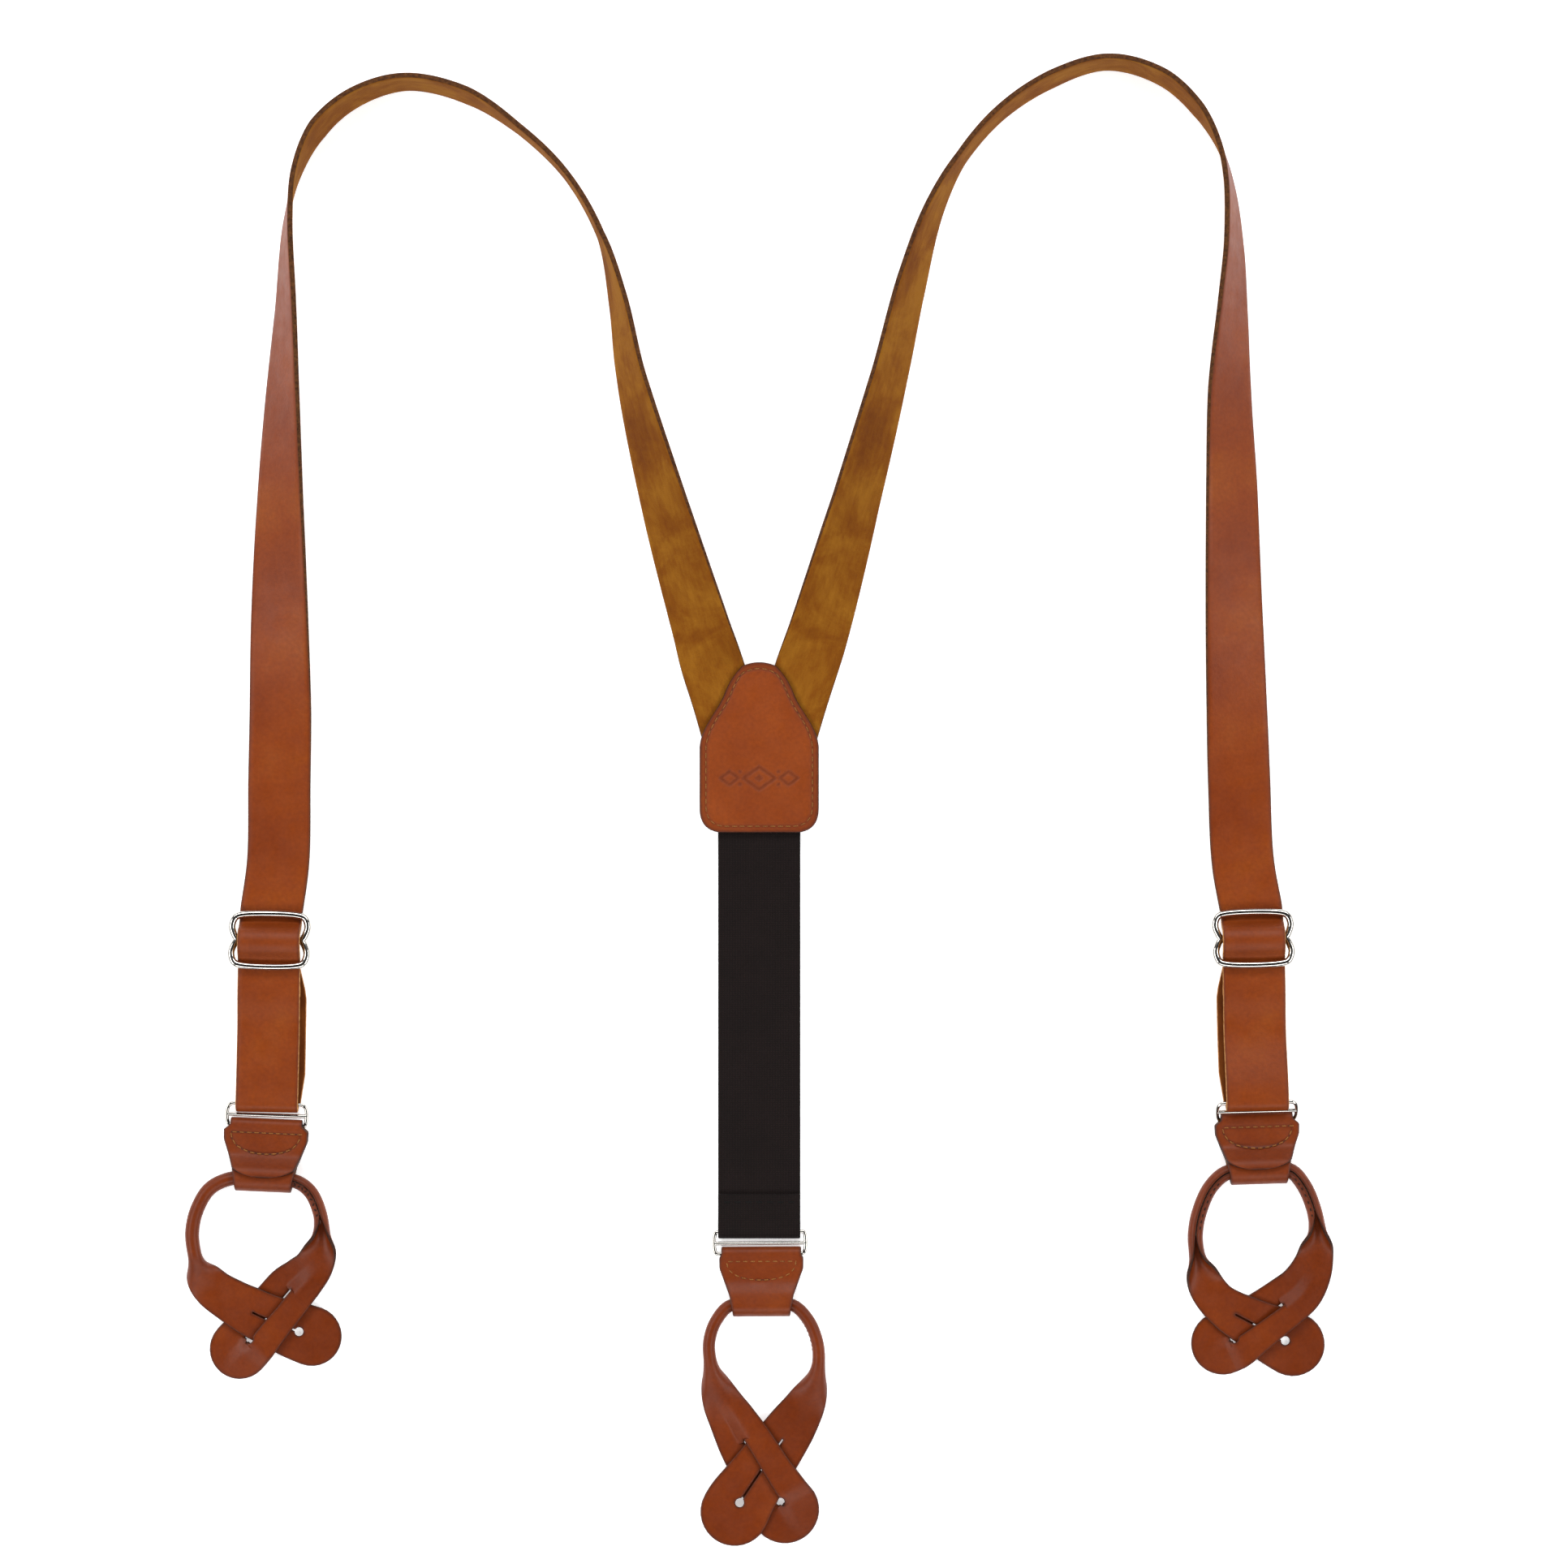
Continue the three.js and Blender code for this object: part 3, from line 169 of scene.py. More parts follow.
def bridle_leather(name, deep, middle, light, rim_and_hollow_tint, gloss):
    """Vegetable-tanned grain side, waxed: a close soft grain, clouds of tone, darker burnished rim, and
    painted shade that darkens the pressed-in hollows.
    """
    made, tree, shader = new_material(name)
    lay = add(tree, "UVMap", uv_map="UVMap").outputs["UV"]
    clouds = add(tree, "TexNoise", {"Vector": lay, "Scale": per_mm(34), "Detail": 5.0, "Roughness": 0.55})
    tone = add(tree, "ValToRGB", {"Fac": clouds.outputs["Fac"]},
               ramp=[(0.30, deep), (0.52, middle), (0.74, light)])
    pores = add(tree, "TexNoise", {"Vector": lay, "Scale": per_mm(1.6), "Detail": 4.0, "Roughness": 0.6})
    fleck = add(tree, "MapRange", {"Value": pores.outputs["Fac"], "From Min": 0.3, "From Max": 0.7,
                                   "To Min": 0.88, "To Max": 1.09})
    flecked = add(tree, "VectorMath", {0: tone.outputs["Color"]}, operation="SCALE")
    tree.links.new(fleck.outputs["Result"], flecked.inputs["Scale"])
    rim = add(tree, "Attribute", attribute_name="rim", attribute_type="GEOMETRY")
    ragged = add(tree, "TexNoise", {"Vector": lay, "Scale": per_mm(5), "Detail": 3.0})
    wander = add(tree, "Math", {0: ragged.outputs["Fac"], 1: 1.1}, operation="MULTIPLY_ADD")
    tree.links.new(rim.outputs["Fac"], wander.inputs[2])
    burnish = add(tree, "MapRange", {"Value": wander.outputs[0], "From Min": 0.75, "From Max": 2.1,
                                     "To Min": 0.5, "To Max": 0.0}, interpolation_type="SMOOTHSTEP")
    # Painted shade: the depth of the pressed hollows (stamp, seam groove, thinned edge) darkens the colour
    # towards the rim tint.
    hollow_shade = add(tree, "Attribute", attribute_name="hollow_shade", attribute_type="GEOMETRY")
    darken = add(tree, "Math", {0: hollow_shade.outputs["Fac"], 1: 1.5, 2: burnish.outputs["Result"]},
                 operation="MULTIPLY_ADD", use_clamp=True)
    colour = add(tree, "Mix", {"Factor": darken.outputs[0]}, data_type="RGBA")
    tree.links.new(flecked.outputs["Vector"], colour.inputs[6])
    colour.inputs[7].default_value = rgb(rim_and_hollow_tint)
    cells = add(tree, "TexVoronoi", {"Vector": lay, "Scale": per_mm(0.75), "Randomness": 1.0},
                feature="SMOOTH_F1")
    hide = add(tree, "TexNoise", {"Vector": lay, "Scale": per_mm(7), "Detail": 4.0, "Roughness": 0.6})
    relief = add(tree, "Math", {0: cells.outputs["Distance"], 1: 0.35}, operation="MULTIPLY")
    relief = add(tree, "Math", {0: relief.outputs[0], 1: hide.outputs["Fac"]}, operation="ADD")
    bump = add(tree, "Bump", {"Height": relief.outputs[0], "Strength": 0.32, "Distance": 0.0003})
    sheen = add(tree, "MapRange", {"Value": hide.outputs["Fac"], "From Min": 0.3, "From Max": 0.7,
                                   "To Min": gloss - 0.06, "To Max": gloss + 0.08})
    plug(tree, shader, Base_Color=colour.outputs[2], Roughness=sheen.outputs["Result"],
         Normal=bump.outputs["Normal"], IOR=1.48, Specular_IOR_Level=0.25)
    return made


def flesh_leather(name, deep, middle, light):
    """Napped flesh side: olive tan, cloudy where the nap lies over, streaked along the hide."""
    made, tree, shader = new_material(name)
    lay = add(tree, "UVMap", uv_map="UVMap").outputs["UV"]
    clouds = add(tree, "TexNoise", {"Vector": lay, "Scale": per_mm(26), "Detail": 7.0, "Roughness": 0.62,
                                    "Distortion": 0.5})
    streaks = add(tree, "Mapping", {"Vector": lay, "Scale": (1.0, 0.22, 1.0)})
    fibres = add(tree, "TexNoise", {"Vector": streaks.outputs["Vector"], "Scale": per_mm(2.2), "Detail": 5.0,
                                    "Roughness": 0.7})
    mixed = add(tree, "Math", {0: fibres.outputs["Fac"], 1: 0.32}, operation="MULTIPLY")
    mixed = add(tree, "Math", {0: clouds.outputs["Fac"], 1: mixed.outputs[0]}, operation="ADD")
    tone = add(tree, "ValToRGB", {"Fac": mixed.outputs[0]},
               ramp=[(0.46, deep), (0.62, middle), (0.78, light)])
    nap = add(tree, "TexNoise", {"Vector": lay, "Scale": per_mm(0.5), "Detail": 3.0, "Roughness": 0.7})
    fuzz = add(tree, "Math", {0: nap.outputs["Fac"], 1: fibres.outputs["Fac"]}, operation="ADD")
    bump = add(tree, "Bump", {"Height": fuzz.outputs[0], "Strength": 0.55, "Distance": 0.0004})
    plug(tree, shader, Base_Color=tone.outputs["Color"], Roughness=0.93, Normal=bump.outputs["Normal"],
         Sheen_Weight=0.10, Sheen_Roughness=0.5, Specular_IOR_Level=0.15)
    shader.inputs["Sheen Tint"].default_value = rgb("#B5792E")
    return made


def cut_edge(name, dark, light, roughness):
    """Cut edge of the leather, rubbed down: layered fibres running along the edge."""
    made, tree, shader = new_material(name)
    place = add(tree, "TexCoord").outputs["Object"]
    fibres = add(tree, "TexNoise", {"Vector": place, "Scale": per_mm(1.4), "Detail": 5.0, "Roughness": 0.65})
    tone = add(tree, "ValToRGB", {"Fac": fibres.outputs["Fac"]}, ramp=[(0.35, dark), (0.68, light)])
    bump = add(tree, "Bump", {"Height": fibres.outputs["Fac"], "Strength": 0.4, "Distance": 0.0002})
    plug(tree, shader, Base_Color=tone.outputs["Color"], Roughness=roughness,
         Normal=bump.outputs["Normal"], IOR=1.46, Specular_IOR_Level=0.2)
    return made


def woven_elastic():
    """Knitted elastic: fine ribs along the band crossed by the weft, almost black brown, matte."""
    made, tree, shader = new_material("woven_elastic")
    lay = add(tree, "UVMap", uv_map="UVMap").outputs["UV"]
    # The real ribs are about 0.6 mm; 1.1 mm is the finest that still shows.
    ribs = add(tree, "TexWave", {"Vector": lay, "Scale": per_mm(1.1) / 3.14, "Distortion": 0.25,
                                 "Detail": 1.0}, wave_type="BANDS", bands_direction="X")
    weft = add(tree, "TexWave", {"Vector": lay, "Scale": per_mm(0.9) / 3.14, "Distortion": 0.3,
                                 "Detail": 1.0}, wave_type="BANDS", bands_direction="Y")
    knit = add(tree, "Math", {0: ribs.outputs["Fac"], 1: weft.outputs["Fac"]}, operation="MULTIPLY")
    dust = add(tree, "TexNoise", {"Vector": lay, "Scale": per_mm(18), "Detail": 6.0, "Roughness": 0.7})
    tone = add(tree, "Math", {0: dust.outputs["Fac"], 1: 0.5}, operation="MULTIPLY")
    tone = add(tree, "Math", {0: knit.outputs[0], 1: 0.5, 2: tone.outputs[0]}, operation="MULTIPLY_ADD")
    colour = add(tree, "ValToRGB", {"Fac": tone.outputs[0]},
                 ramp=[(0.12, "#0C0706"), (0.45, "#150D0C"), (0.85, "#1F1412")])
    bump = add(tree, "Bump", {"Height": knit.outputs[0], "Strength": 0.5, "Distance": 0.00025})
    plug(tree, shader, Base_Color=colour.outputs["Color"], Roughness=0.86,
         Normal=bump.outputs["Normal"], Sheen_Weight=0.04, Sheen_Roughness=0.4, Specular_IOR_Level=0.15)
    return made


def nickel_plate():
    """Polished nickel plate on steel wire: warm bright mirror, faintly smudged by handling."""
    made, tree, shader = new_material("polished_nickel_plate")
    place = add(tree, "TexCoord").outputs["Object"]
    smudge = add(tree, "TexNoise", {"Vector": place, "Scale": per_mm(9), "Detail": 5.0, "Roughness": 0.6})
    rough = add(tree, "MapRange", {"Value": smudge.outputs["Fac"], "From Min": 0.35, "From Max": 0.7,
                                   "To Min": 0.05, "To Max": 0.13})
    lines = add(tree, "TexNoise", {"Vector": place, "Scale": per_mm(0.8), "Detail": 2.0})
    bump = add(tree, "Bump", {"Height": lines.outputs["Fac"], "Strength": 0.06, "Distance": 0.0001})
    tone = add(tree, "ValToRGB", {"Fac": smudge.outputs["Fac"]}, ramp=[(0.3, "#BDB9B3"), (0.7, "#D6D3CD")])
    plug(tree, shader, Base_Color=tone.outputs["Color"], Metallic=1.0,
         Roughness=rough.outputs["Result"], Normal=bump.outputs["Normal"])
    return made


def spun_thread(name, dark, light, roughness):
    """Twisted waxed thread: small slanting ridges of ply, slightly uneven in tone."""
    made, tree, shader = new_material(name)
    place = add(tree, "TexCoord").outputs["Object"]
    ply = add(tree, "TexWave", {"Vector": place, "Scale": per_mm(0.45) / 3.14, "Distortion": 0.4},
              wave_type="BANDS", bands_direction="DIAGONAL")
    worn = add(tree, "TexNoise", {"Vector": place, "Scale": per_mm(3), "Detail": 3.0})
    mixed = add(tree, "Math", {0: ply.outputs["Fac"], 1: 0.4, 2: worn.outputs["Fac"]},
                operation="MULTIPLY_ADD")
    tone = add(tree, "ValToRGB", {"Fac": mixed.outputs[0]}, ramp=[(0.35, dark), (0.95, light)])
    bump = add(tree, "Bump", {"Height": ply.outputs["Fac"], "Strength": 0.5, "Distance": 0.0001})
    plug(tree, shader, Base_Color=tone.outputs["Color"], Roughness=roughness,
         Normal=bump.outputs["Normal"], Sheen_Weight=0.03, Specular_IOR_Level=0.2)
    return made


def awl_hole_painted_shade():
    """The pricked hole at a stitch's end: a small dent, painted dark to stand for the shade inside the hole.
    """
    made, tree, shader = new_material("awl_hole_painted_shade")
    place = add(tree, "TexCoord").outputs["Object"]
    grit = add(tree, "TexNoise", {"Vector": place, "Scale": per_mm(0.6), "Detail": 2.0})
    tone = add(tree, "ValToRGB", {"Fac": grit.outputs["Fac"]}, ramp=[(0.3, "#2A1206"), (0.7, "#4A220C")])
    plug(tree, shader, Base_Color=tone.outputs["Color"], Roughness=0.9)
    return made


GRAIN = bridle_leather("bridle_leather_grain", "#6F2B04", "#7C3406", "#87400B", "#421804", 0.48)
PATCH_GRAIN = bridle_leather("bridle_leather_patch", "#752F06", "#803708", "#8A3E0A", "#4A1A06", 0.52)
HOLDER_GRAIN = bridle_leather("bridle_leather_holder", "#662606", "#722E07", "#7D370A", "#37140A", 0.46)
LOOP_GRAIN = bridle_leather("bridle_leather_loop", "#5E2203", "#6C2A06", "#79330A", "#2E1004", 0.42)
FLESH = flesh_leather("napped_flesh_side", "#653303", "#774306", "#8A5812")
# Darker flesh for the doubled run's return layer: painted shade, not a different leather.
SHADED_FLESH = flesh_leather("flesh_side_painted_shade", "#4A2004", "#5A2A06", "#69350C")
STRAP_EDGE = cut_edge("rubbed_edge", "#331807", "#603A18", 0.75)
RUN_EDGE = cut_edge("worn_edge", "#8A5426", "#BF8A54", 0.8)
DARK_EDGE = cut_edge("painted_edge", "#26100A", "#40200F", 0.5)
ELASTIC = woven_elastic()
NICKEL = nickel_plate()
TAN_THREAD = spun_thread("waxed_linen_thread", "#6B3D1A", "#98642F", 0.7)
BROWN_THREAD = spun_thread("brown_linen_thread", "#1C0A03", "#351606", 0.75)
DARK_THREAD = spun_thread("dark_bonded_thread", "#040303", "#0A0706", 0.8)
COTTON_CORD = spun_thread("cotton_cord", "#BFB299", "#E6DCC6", 0.9)
AWL_HOLE_SHADE = awl_hole_painted_shade()

# ---- curves -----------------------------------------------------------------------------------


def read_table(table, place):
    """Reads a value from (place, value) pairs, straight between them."""
    places, values = zip(*sorted(table))
    return float(np.interp(place, places, values))


def plan_point(points, row):
    """Point of a smooth curve through points, at a fractional row number."""
    row = min(max(row, 0.0), len(points) - 1.0)
    i = min(int(row), len(points) - 2)
    t = row - i
    p1, p2 = points[i], points[i + 1]
    p0 = points[i - 1] if i > 0 else 2 * p1 - p2
    p3 = points[i + 2] if i + 2 < len(points) else 2 * p2 - p1
    spans = [np.sum((b - a) ** 2) ** 0.25 for a, b in ((p0, p1), (p1, p2), (p2, p3))]
    middle = max(spans[1], 1e-4)
    first, last = (span if span > 1e-4 else middle for span in (spans[0], spans[2]))
    m1 = ((p1 - p0) / first - (p2 - p0) / (first + middle) + (p2 - p1) / middle) * middle
    m2 = ((p2 - p1) / middle - (p3 - p1) / (middle + last) + (p3 - p2) / last) * middle
    return p1 + m1 * t + (3 * (p2 - p1) - 2 * m1 - m2) * t ** 2 + (2 * (p1 - p2) + m1 + m2) * t ** 3


def plan_tangent(points, row):
    ahead = plan_point(points, row + 1e-3) - plan_point(points, row - 1e-3)
    return ahead / np.linalg.norm(ahead)


def side_curve(points, steps):
    """Smooth path in side view through (y, z) points, in equal steps of the point number."""
    points = [np.array(p, float) for p in points]
    last = len(points) - 1
    path = []
    for k in range(steps + 1):
        place = last * k / steps
        i = min(int(place), last - 1)
        t = place - i
        p0, p1, p2, p3 = (points[min(max(n, 0), last)] for n in (i - 1, i, i + 1, i + 2))
        m1, m2 = (p2 - p0) / 2, (p3 - p1) / 2
        path.append(p1 + m1 * t + (3 * (p2 - p1) - 2 * m1 - m2) * t ** 2
                    + (2 * (p1 - p2) + m1 + m2) * t ** 3)
    return path


def arc(centre, radius, start, end, steps):
    """Arc in side view round (y, z), in degrees."""
    turns = np.radians(np.linspace(start, end, steps + 1))
    return [np.array([centre[0] + radius * math.cos(a), centre[1] + radius * math.sin(a)]) for a in turns]


def join_paths(*stretches):
    """Joins stretches of a path, each starting where the last one ended."""
    return list(stretches[0]) + [p for stretch in stretches[1:] for p in stretch[1:]]


def bezier(a, b, c, d, steps):
    a, b, c, d = (np.array(p, float) for p in (a, b, c, d))
    return [a * (1 - t) ** 3 + 3 * b * t * (1 - t) ** 2 + 3 * c * t * t * (1 - t) + d * t ** 3
            for t in np.linspace(0, 1, steps + 1)]


def ease(value, low, high):
    """0 before low, 1 after high, smooth between."""
    share = np.clip((value - low) / (high - low), 0, 1)
    return share * share * (3 - 2 * share)


# ---- meshes -----------------------------------------------------------------------------------


def deselect():
    bpy.ops.object.select_all(action="DESELECT")


def activate(piece):
    deselect()
    piece.select_set(True)
    bpy.context.view_layer.objects.active = piece


def edit_all(piece, *steps):
    """Runs edit-mode operators, each a (operator, settings) pair, on the whole of a piece."""
    activate(piece)
    bpy.ops.object.mode_set(mode="EDIT")
    bpy.ops.mesh.select_all(action="SELECT")
    for operator, settings in steps:
        operator(**settings)
    bpy.ops.object.mode_set(mode="OBJECT")


def join(name, pieces):
    deselect()
    for piece in pieces:
        piece.select_set(True)
    bpy.context.view_layer.objects.active = pieces[0]
    if len(pieces) > 1:
        bpy.ops.object.join()
    whole = bpy.context.view_layer.objects.active
    whole.name = name
    whole.data.name = name
    return whole


def finish_piece(piece, node, body=None, blend=None):
    """Hides the model's node, then bakes the piece's transform into its mesh when a blend is given, and
    otherwise parents it to its body's empty.
    """
    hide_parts(node)
    if blend:
        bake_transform(piece)
    else:
        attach(piece, body)
    return piece


def grid_face(points, uv, rim, hollow_shade, finish, open_cells, flip):
    """One face of a sheet: a grid laid point by point, less the cells that are cut out."""
    rows, cols, _ = points.shape
    deselect()
    bpy.ops.mesh.primitive_grid_add(x_subdivisions=cols - 1, y_subdivisions=rows - 1, size=1)
    face = bpy.context.active_object
    mesh = face.data
    mesh.vertices.foreach_set("co", (points * MM).ravel())
    corner = np.zeros(len(mesh.loops), int)
    mesh.loops.foreach_get("vertex_index", corner)
    mesh.uv_layers.active.name = "UVMap"
    mesh.uv_layers.active.data.foreach_set("uv", (uv.reshape(-1, 2)[corner] * MM).ravel())
    mesh.attributes.new("rim", "FLOAT", "POINT").data.foreach_set("value", rim.ravel())
    mesh.attributes.new("hollow_shade", "FLOAT", "POINT").data.foreach_set("value", hollow_shade.ravel())
    mesh.polygons.foreach_set("material_index", finish.ravel())
    if open_cells.any():
        bpy.context.tool_settings.mesh_select_mode = (False, False, True)
        mesh.vertices.foreach_set("select", np.zeros(len(mesh.vertices), bool))
        mesh.edges.foreach_set("select", np.zeros(len(mesh.edges), bool))
        mesh.polygons.foreach_set("select", open_cells.ravel())
        bpy.ops.object.mode_set(mode="EDIT")
        bpy.ops.mesh.delete(type="FACE")
        bpy.ops.object.mode_set(mode="OBJECT")
    if flip:
        edit_all(face, (bpy.ops.mesh.flip_normals, {}))
    return face


def laid_sheet(name, mid, depth, thick, edge, materials, split=None, open_cells=None, relief=None, smooth=55):
    """A closed sheet with rounded edges. mid holds its middle surface, rows by columns, and depth
    the distance to the nearest cut. materials are for the first face, the second and the edge."""
    down = np.gradient(mid, axis=0)
    across = np.empty_like(mid)
    for part in [slice(None)] if split is None else [slice(0, split + 1), slice(split + 1, None)]:
        across[:, part] = np.gradient(mid[:, part], axis=1)
    normal = np.cross(across, down)
    normal /= np.linalg.norm(normal, axis=2, keepdims=True)
    share = np.clip(depth / edge, 0, 1)
    round_off = np.sqrt(1 - (1 - share) ** 2)
    half = np.broadcast_to(np.asarray(thick, float).reshape(-1, 1) / 2, depth.shape) * round_off
    rise = np.zeros_like(depth) if relief is None else relief * round_off
    steps = np.linalg.norm(np.diff(mid, axis=0), axis=2).mean(axis=1)
    along = np.concatenate([[0], np.cumsum(steps)])
    widths = np.cumsum(np.linalg.norm(np.diff(mid, axis=1), axis=2), axis=1)
    widths = np.concatenate([np.zeros((len(mid), 1)), widths], axis=1)
    uv = np.stack([widths - widths[:, -1:] / 2, np.broadcast_to(along[:, None], depth.shape)], axis=2)
    if open_cells is None:
        open_cells = np.zeros((mid.shape[0] - 1, mid.shape[1] - 1), bool)
    near = (depth[1:, 1:] + depth[:-1, 1:] + depth[1:, :-1] + depth[:-1, :-1]) / 4
    rim = np.minimum(depth, 9.0)
    sides = []
    for k, sign in enumerate((1, -1)):
        finish = np.where(near < edge * 0.45, 2, k)
        offset = normal * (sign * half + (rise if k == 0 else 0))[:, :, None]
        # How deep the first face is pressed in, kept as an attribute that darkens its colour: painted shade
        # in the hollows.
        hollow_shade = np.clip(-rise, 0, 1) if k == 0 else np.zeros_like(rim)
        sides.append(grid_face(mid + offset, uv, rim, hollow_shade, finish, open_cells, k == 1))
    for side in sides:
        for material in materials:
            side.data.materials.append(material)
    piece = join(name, sides)
    edit_all(piece, (bpy.ops.mesh.remove_doubles, {"threshold": 1e-7}))
    activate(piece)
    bpy.ops.object.shade_smooth_by_angle(angle=math.radians(smooth))
    return piece


def edge_columns(half, edge, pitch):
    """Places across a strip from -half to half: close together at the cut edges."""
    fine = [edge * (1 - math.cos(math.radians(a))) for a in (0, 18, 38, 60, 90)]
    inner = half - edge
    count = max(2, round(2 * inner / pitch))
    return np.array([-half + f for f in fine[:-1]] + list(np.linspace(-inner, inner, count + 1))
                    + [half - f for f in reversed(fine[:-1])])


def bent_strip(name, path, thick, half_at, shift_at, spot, edge, pitch, materials, relief_at=None):
    """A strip bent along a side-view path, lying across X of its spot."""
    path = np.array(path)
    gaps = np.linalg.norm(np.diff(path, axis=0), axis=1)
    length = np.concatenate([[0], np.cumsum(gaps)])
    halves = np.array([half_at(p, i) for i, p in enumerate(path)])
    shifts = np.array([shift_at(p, i) for i, p in enumerate(path)])
    widest = edge_columns(halves.max(), edge, pitch)
    share = widest / halves.max()
    mid = np.zeros((len(path), len(share), 3))
    mid[:, :, 0] = halves[:, None] * share + shifts[:, None]
    mid[:, :, 1] = path[:, 0:1]
    mid[:, :, 2] = path[:, 1:2]
    to_side = halves[:, None] * (1 - np.abs(share))
    to_end = np.minimum(length, length[-1] - length)[:, None]
    depth = np.minimum(to_side, to_end)
    relief = None if relief_at is None else relief_at(mid, np.arange(len(path)))
    return laid_sheet(name, spot(mid), depth, thick, edge, materials, relief=relief)


def dense(path, step, edge):
    """Resamples a side-view path to even steps, with close ones where its two ends are rounded."""
    path = np.array(path)
    length = np.concatenate([[0], np.cumsum(np.linalg.norm(np.diff(path, axis=0), axis=1))])
    fine = np.array([edge * (1 - math.cos(math.radians(a))) for a in (0, 18, 38, 60, 90)])
    inner = np.linspace(edge, length[-1] - edge, max(3, int(length[-1] / step)))
    places = np.concatenate([fine[:-1], inner, length[-1] - fine[:-1][::-1]])
    return np.stack([np.interp(places, length, path[:, k]) for k in (0, 1)], axis=1), places, length


class Spot:
    """A place in the frame: its origin, its X, and Y and Z from the tilt about X."""

    def __init__(self, origin, x_axis, tilt=0.0):
        self.origin = np.array(origin, float)
        self.x = np.array([x_axis[0], x_axis[1], 0.0]) / math.hypot(x_axis[0], x_axis[1])
        level = np.array([-self.x[1], self.x[0], 0.0])
        up = np.array([0.0, 0.0, 1.0])
        self.y = level * math.cos(tilt) + up * math.sin(tilt)
        self.z = up * math.cos(tilt) - level * math.sin(tilt)

    def __call__(self, points):
        points = np.asarray(points, float)
        return (self.origin + points[..., 0:1] * self.x + points[..., 1:2] * self.y
                + points[..., 2:3] * self.z)


def hinge_spot(name, sign=1, z=0.0, tilt=0.0):
    """The spot at a hinge, with its X along the hinge's axis."""
    joint = JOINTS[name]
    x, y, _ = (value / MM for value in joint["pos_m"])
    return Spot((x, y, z), [sign * value for value in joint["axis"]], tilt)


def drop_spot(side):
    joint = JOINTS[f"{side}_adjuster_travel"]
    x, y, _ = (value / MM for value in joint["pos_m"])
    ax, ay, _ = joint["axis"]
    return Spot((x, y, 0), (ay, -ax))


YOKE_SPOT = Spot((0, 0, 0), (1, 0))

# ---- wires ------------------------------------------------------------------------------------


def bent_wire(points, radius, closed):
    """Round wire along points, as a mesh."""
    deselect()
    curve = bpy.data.curves.new("wire", "CURVE")
    curve.dimensions = "3D"
    curve.bevel_depth = radius * MM
    curve.bevel_resolution = 5
    curve.use_fill_caps = True
    spline = curve.splines.new("POLY")
    spline.points.add(len(points) - 1)
    for spot, point in zip(spline.points, points):
        spot.co = [*(float(v) * MM for v in point), 1.0]
    spline.use_cyclic_u = closed
    wire = bpy.data.objects.new("wire", curve)
    bpy.context.scene.collection.objects.link(wire)
    activate(wire)
    bpy.ops.object.convert(target="MESH")
    wire = bpy.context.active_object
    bpy.ops.object.shade_smooth_by_angle(angle=math.radians(60))
    return wire


def rounded_ring(half, height, upper, lower, steps=9):
    """Outline of a wire ring: straight bars above and below, round ends."""
    right = (bezier((half - upper, 0), (half - upper / 3, 0), (half, -upper / 3), (half, -height / 2), steps)
             + bezier((half, -height / 2), (half, -height + lower / 2), (half - lower / 2, -height),
                      (half - lower, -height), steps)[1:])
    left = [np.array([-x, y]) for x, y in reversed(right)]
    return [(x, y, 0) for x, y in right + left]


def ring(side, body, inner_half, upper_corner):
    upper, lower = JOINTS[f"{side}_ring_swing"], JOINTS[f"{side}_holder_swing"]
    fall = (upper["pos_m"][2] - lower["pos_m"][2]) / MM
    spot = hinge_spot(f"{side}_ring_swing", z=upper["pos_m"][2] / MM, tilt=math.asin(fall / RING_HEIGHT))
    half = inner_half + RING_WIRE
    frame_wire = bent_wire(spot(rounded_ring(half, RING_HEIGHT, upper_corner, RING_CORNER)), RING_WIRE, True)
    bar = bent_wire(spot([(x, -RING_UPPER, 0) for x in (-half, -half / 2, half / 2, half)]), RING_WIRE, False)
    whole = join(f"{side}_ring_nickel", [frame_wire, bar])
    whole.data.materials.append(NICKEL)
    finish_piece(whole, f"{side}_ring", body)


def slide(side):
    """Figure-of-eight slide: two flat ovals of wire that meet at the waist, and a thin middle bar."""
    base = drop_spot(side)
    spot = Spot(base.origin + np.array([0, 0, SLIDE_Z]), base.x, -SLIDE_TILT)
    bulge = STRAP_WIDTH / 2 + SLIDE_SIDE_GAP + SLIDE_WIRE
    corner = [(bulge - 4.3, 1), (bulge - 1.3, 0.89), (bulge, 0.53), (bulge - 1.1, 0.18)]
    waist = bulge - 2.1
    right = corner + [(waist, 0)] + [(x, -y) for x, y in reversed(corner)]
    around = [np.array([x, y * SLIDE_PITCH, 0.0]) for x, y in right + [(-x, -y) for x, y in right]]
    looped = around[-2:] + around + around[:3]
    outline = [plan_point(looped, 2 + len(around) * k / 150) for k in range(150)]
    frame_wire = bent_wire(spot(outline), SLIDE_WIRE, True)
    bar = bent_wire(spot([(x, 0, 0) for x in (-waist, -waist / 2, waist / 2, waist)]), SLIDE_BAR, False)
    whole = join(f"{side}_slide_nickel", [frame_wire, bar])
    whole.data.materials.append(NICKEL)
    finish_piece(whole, f"{side}_adjuster", f"{side}_slide")


# ---- stitches ---------------------------------------------------------------------------------


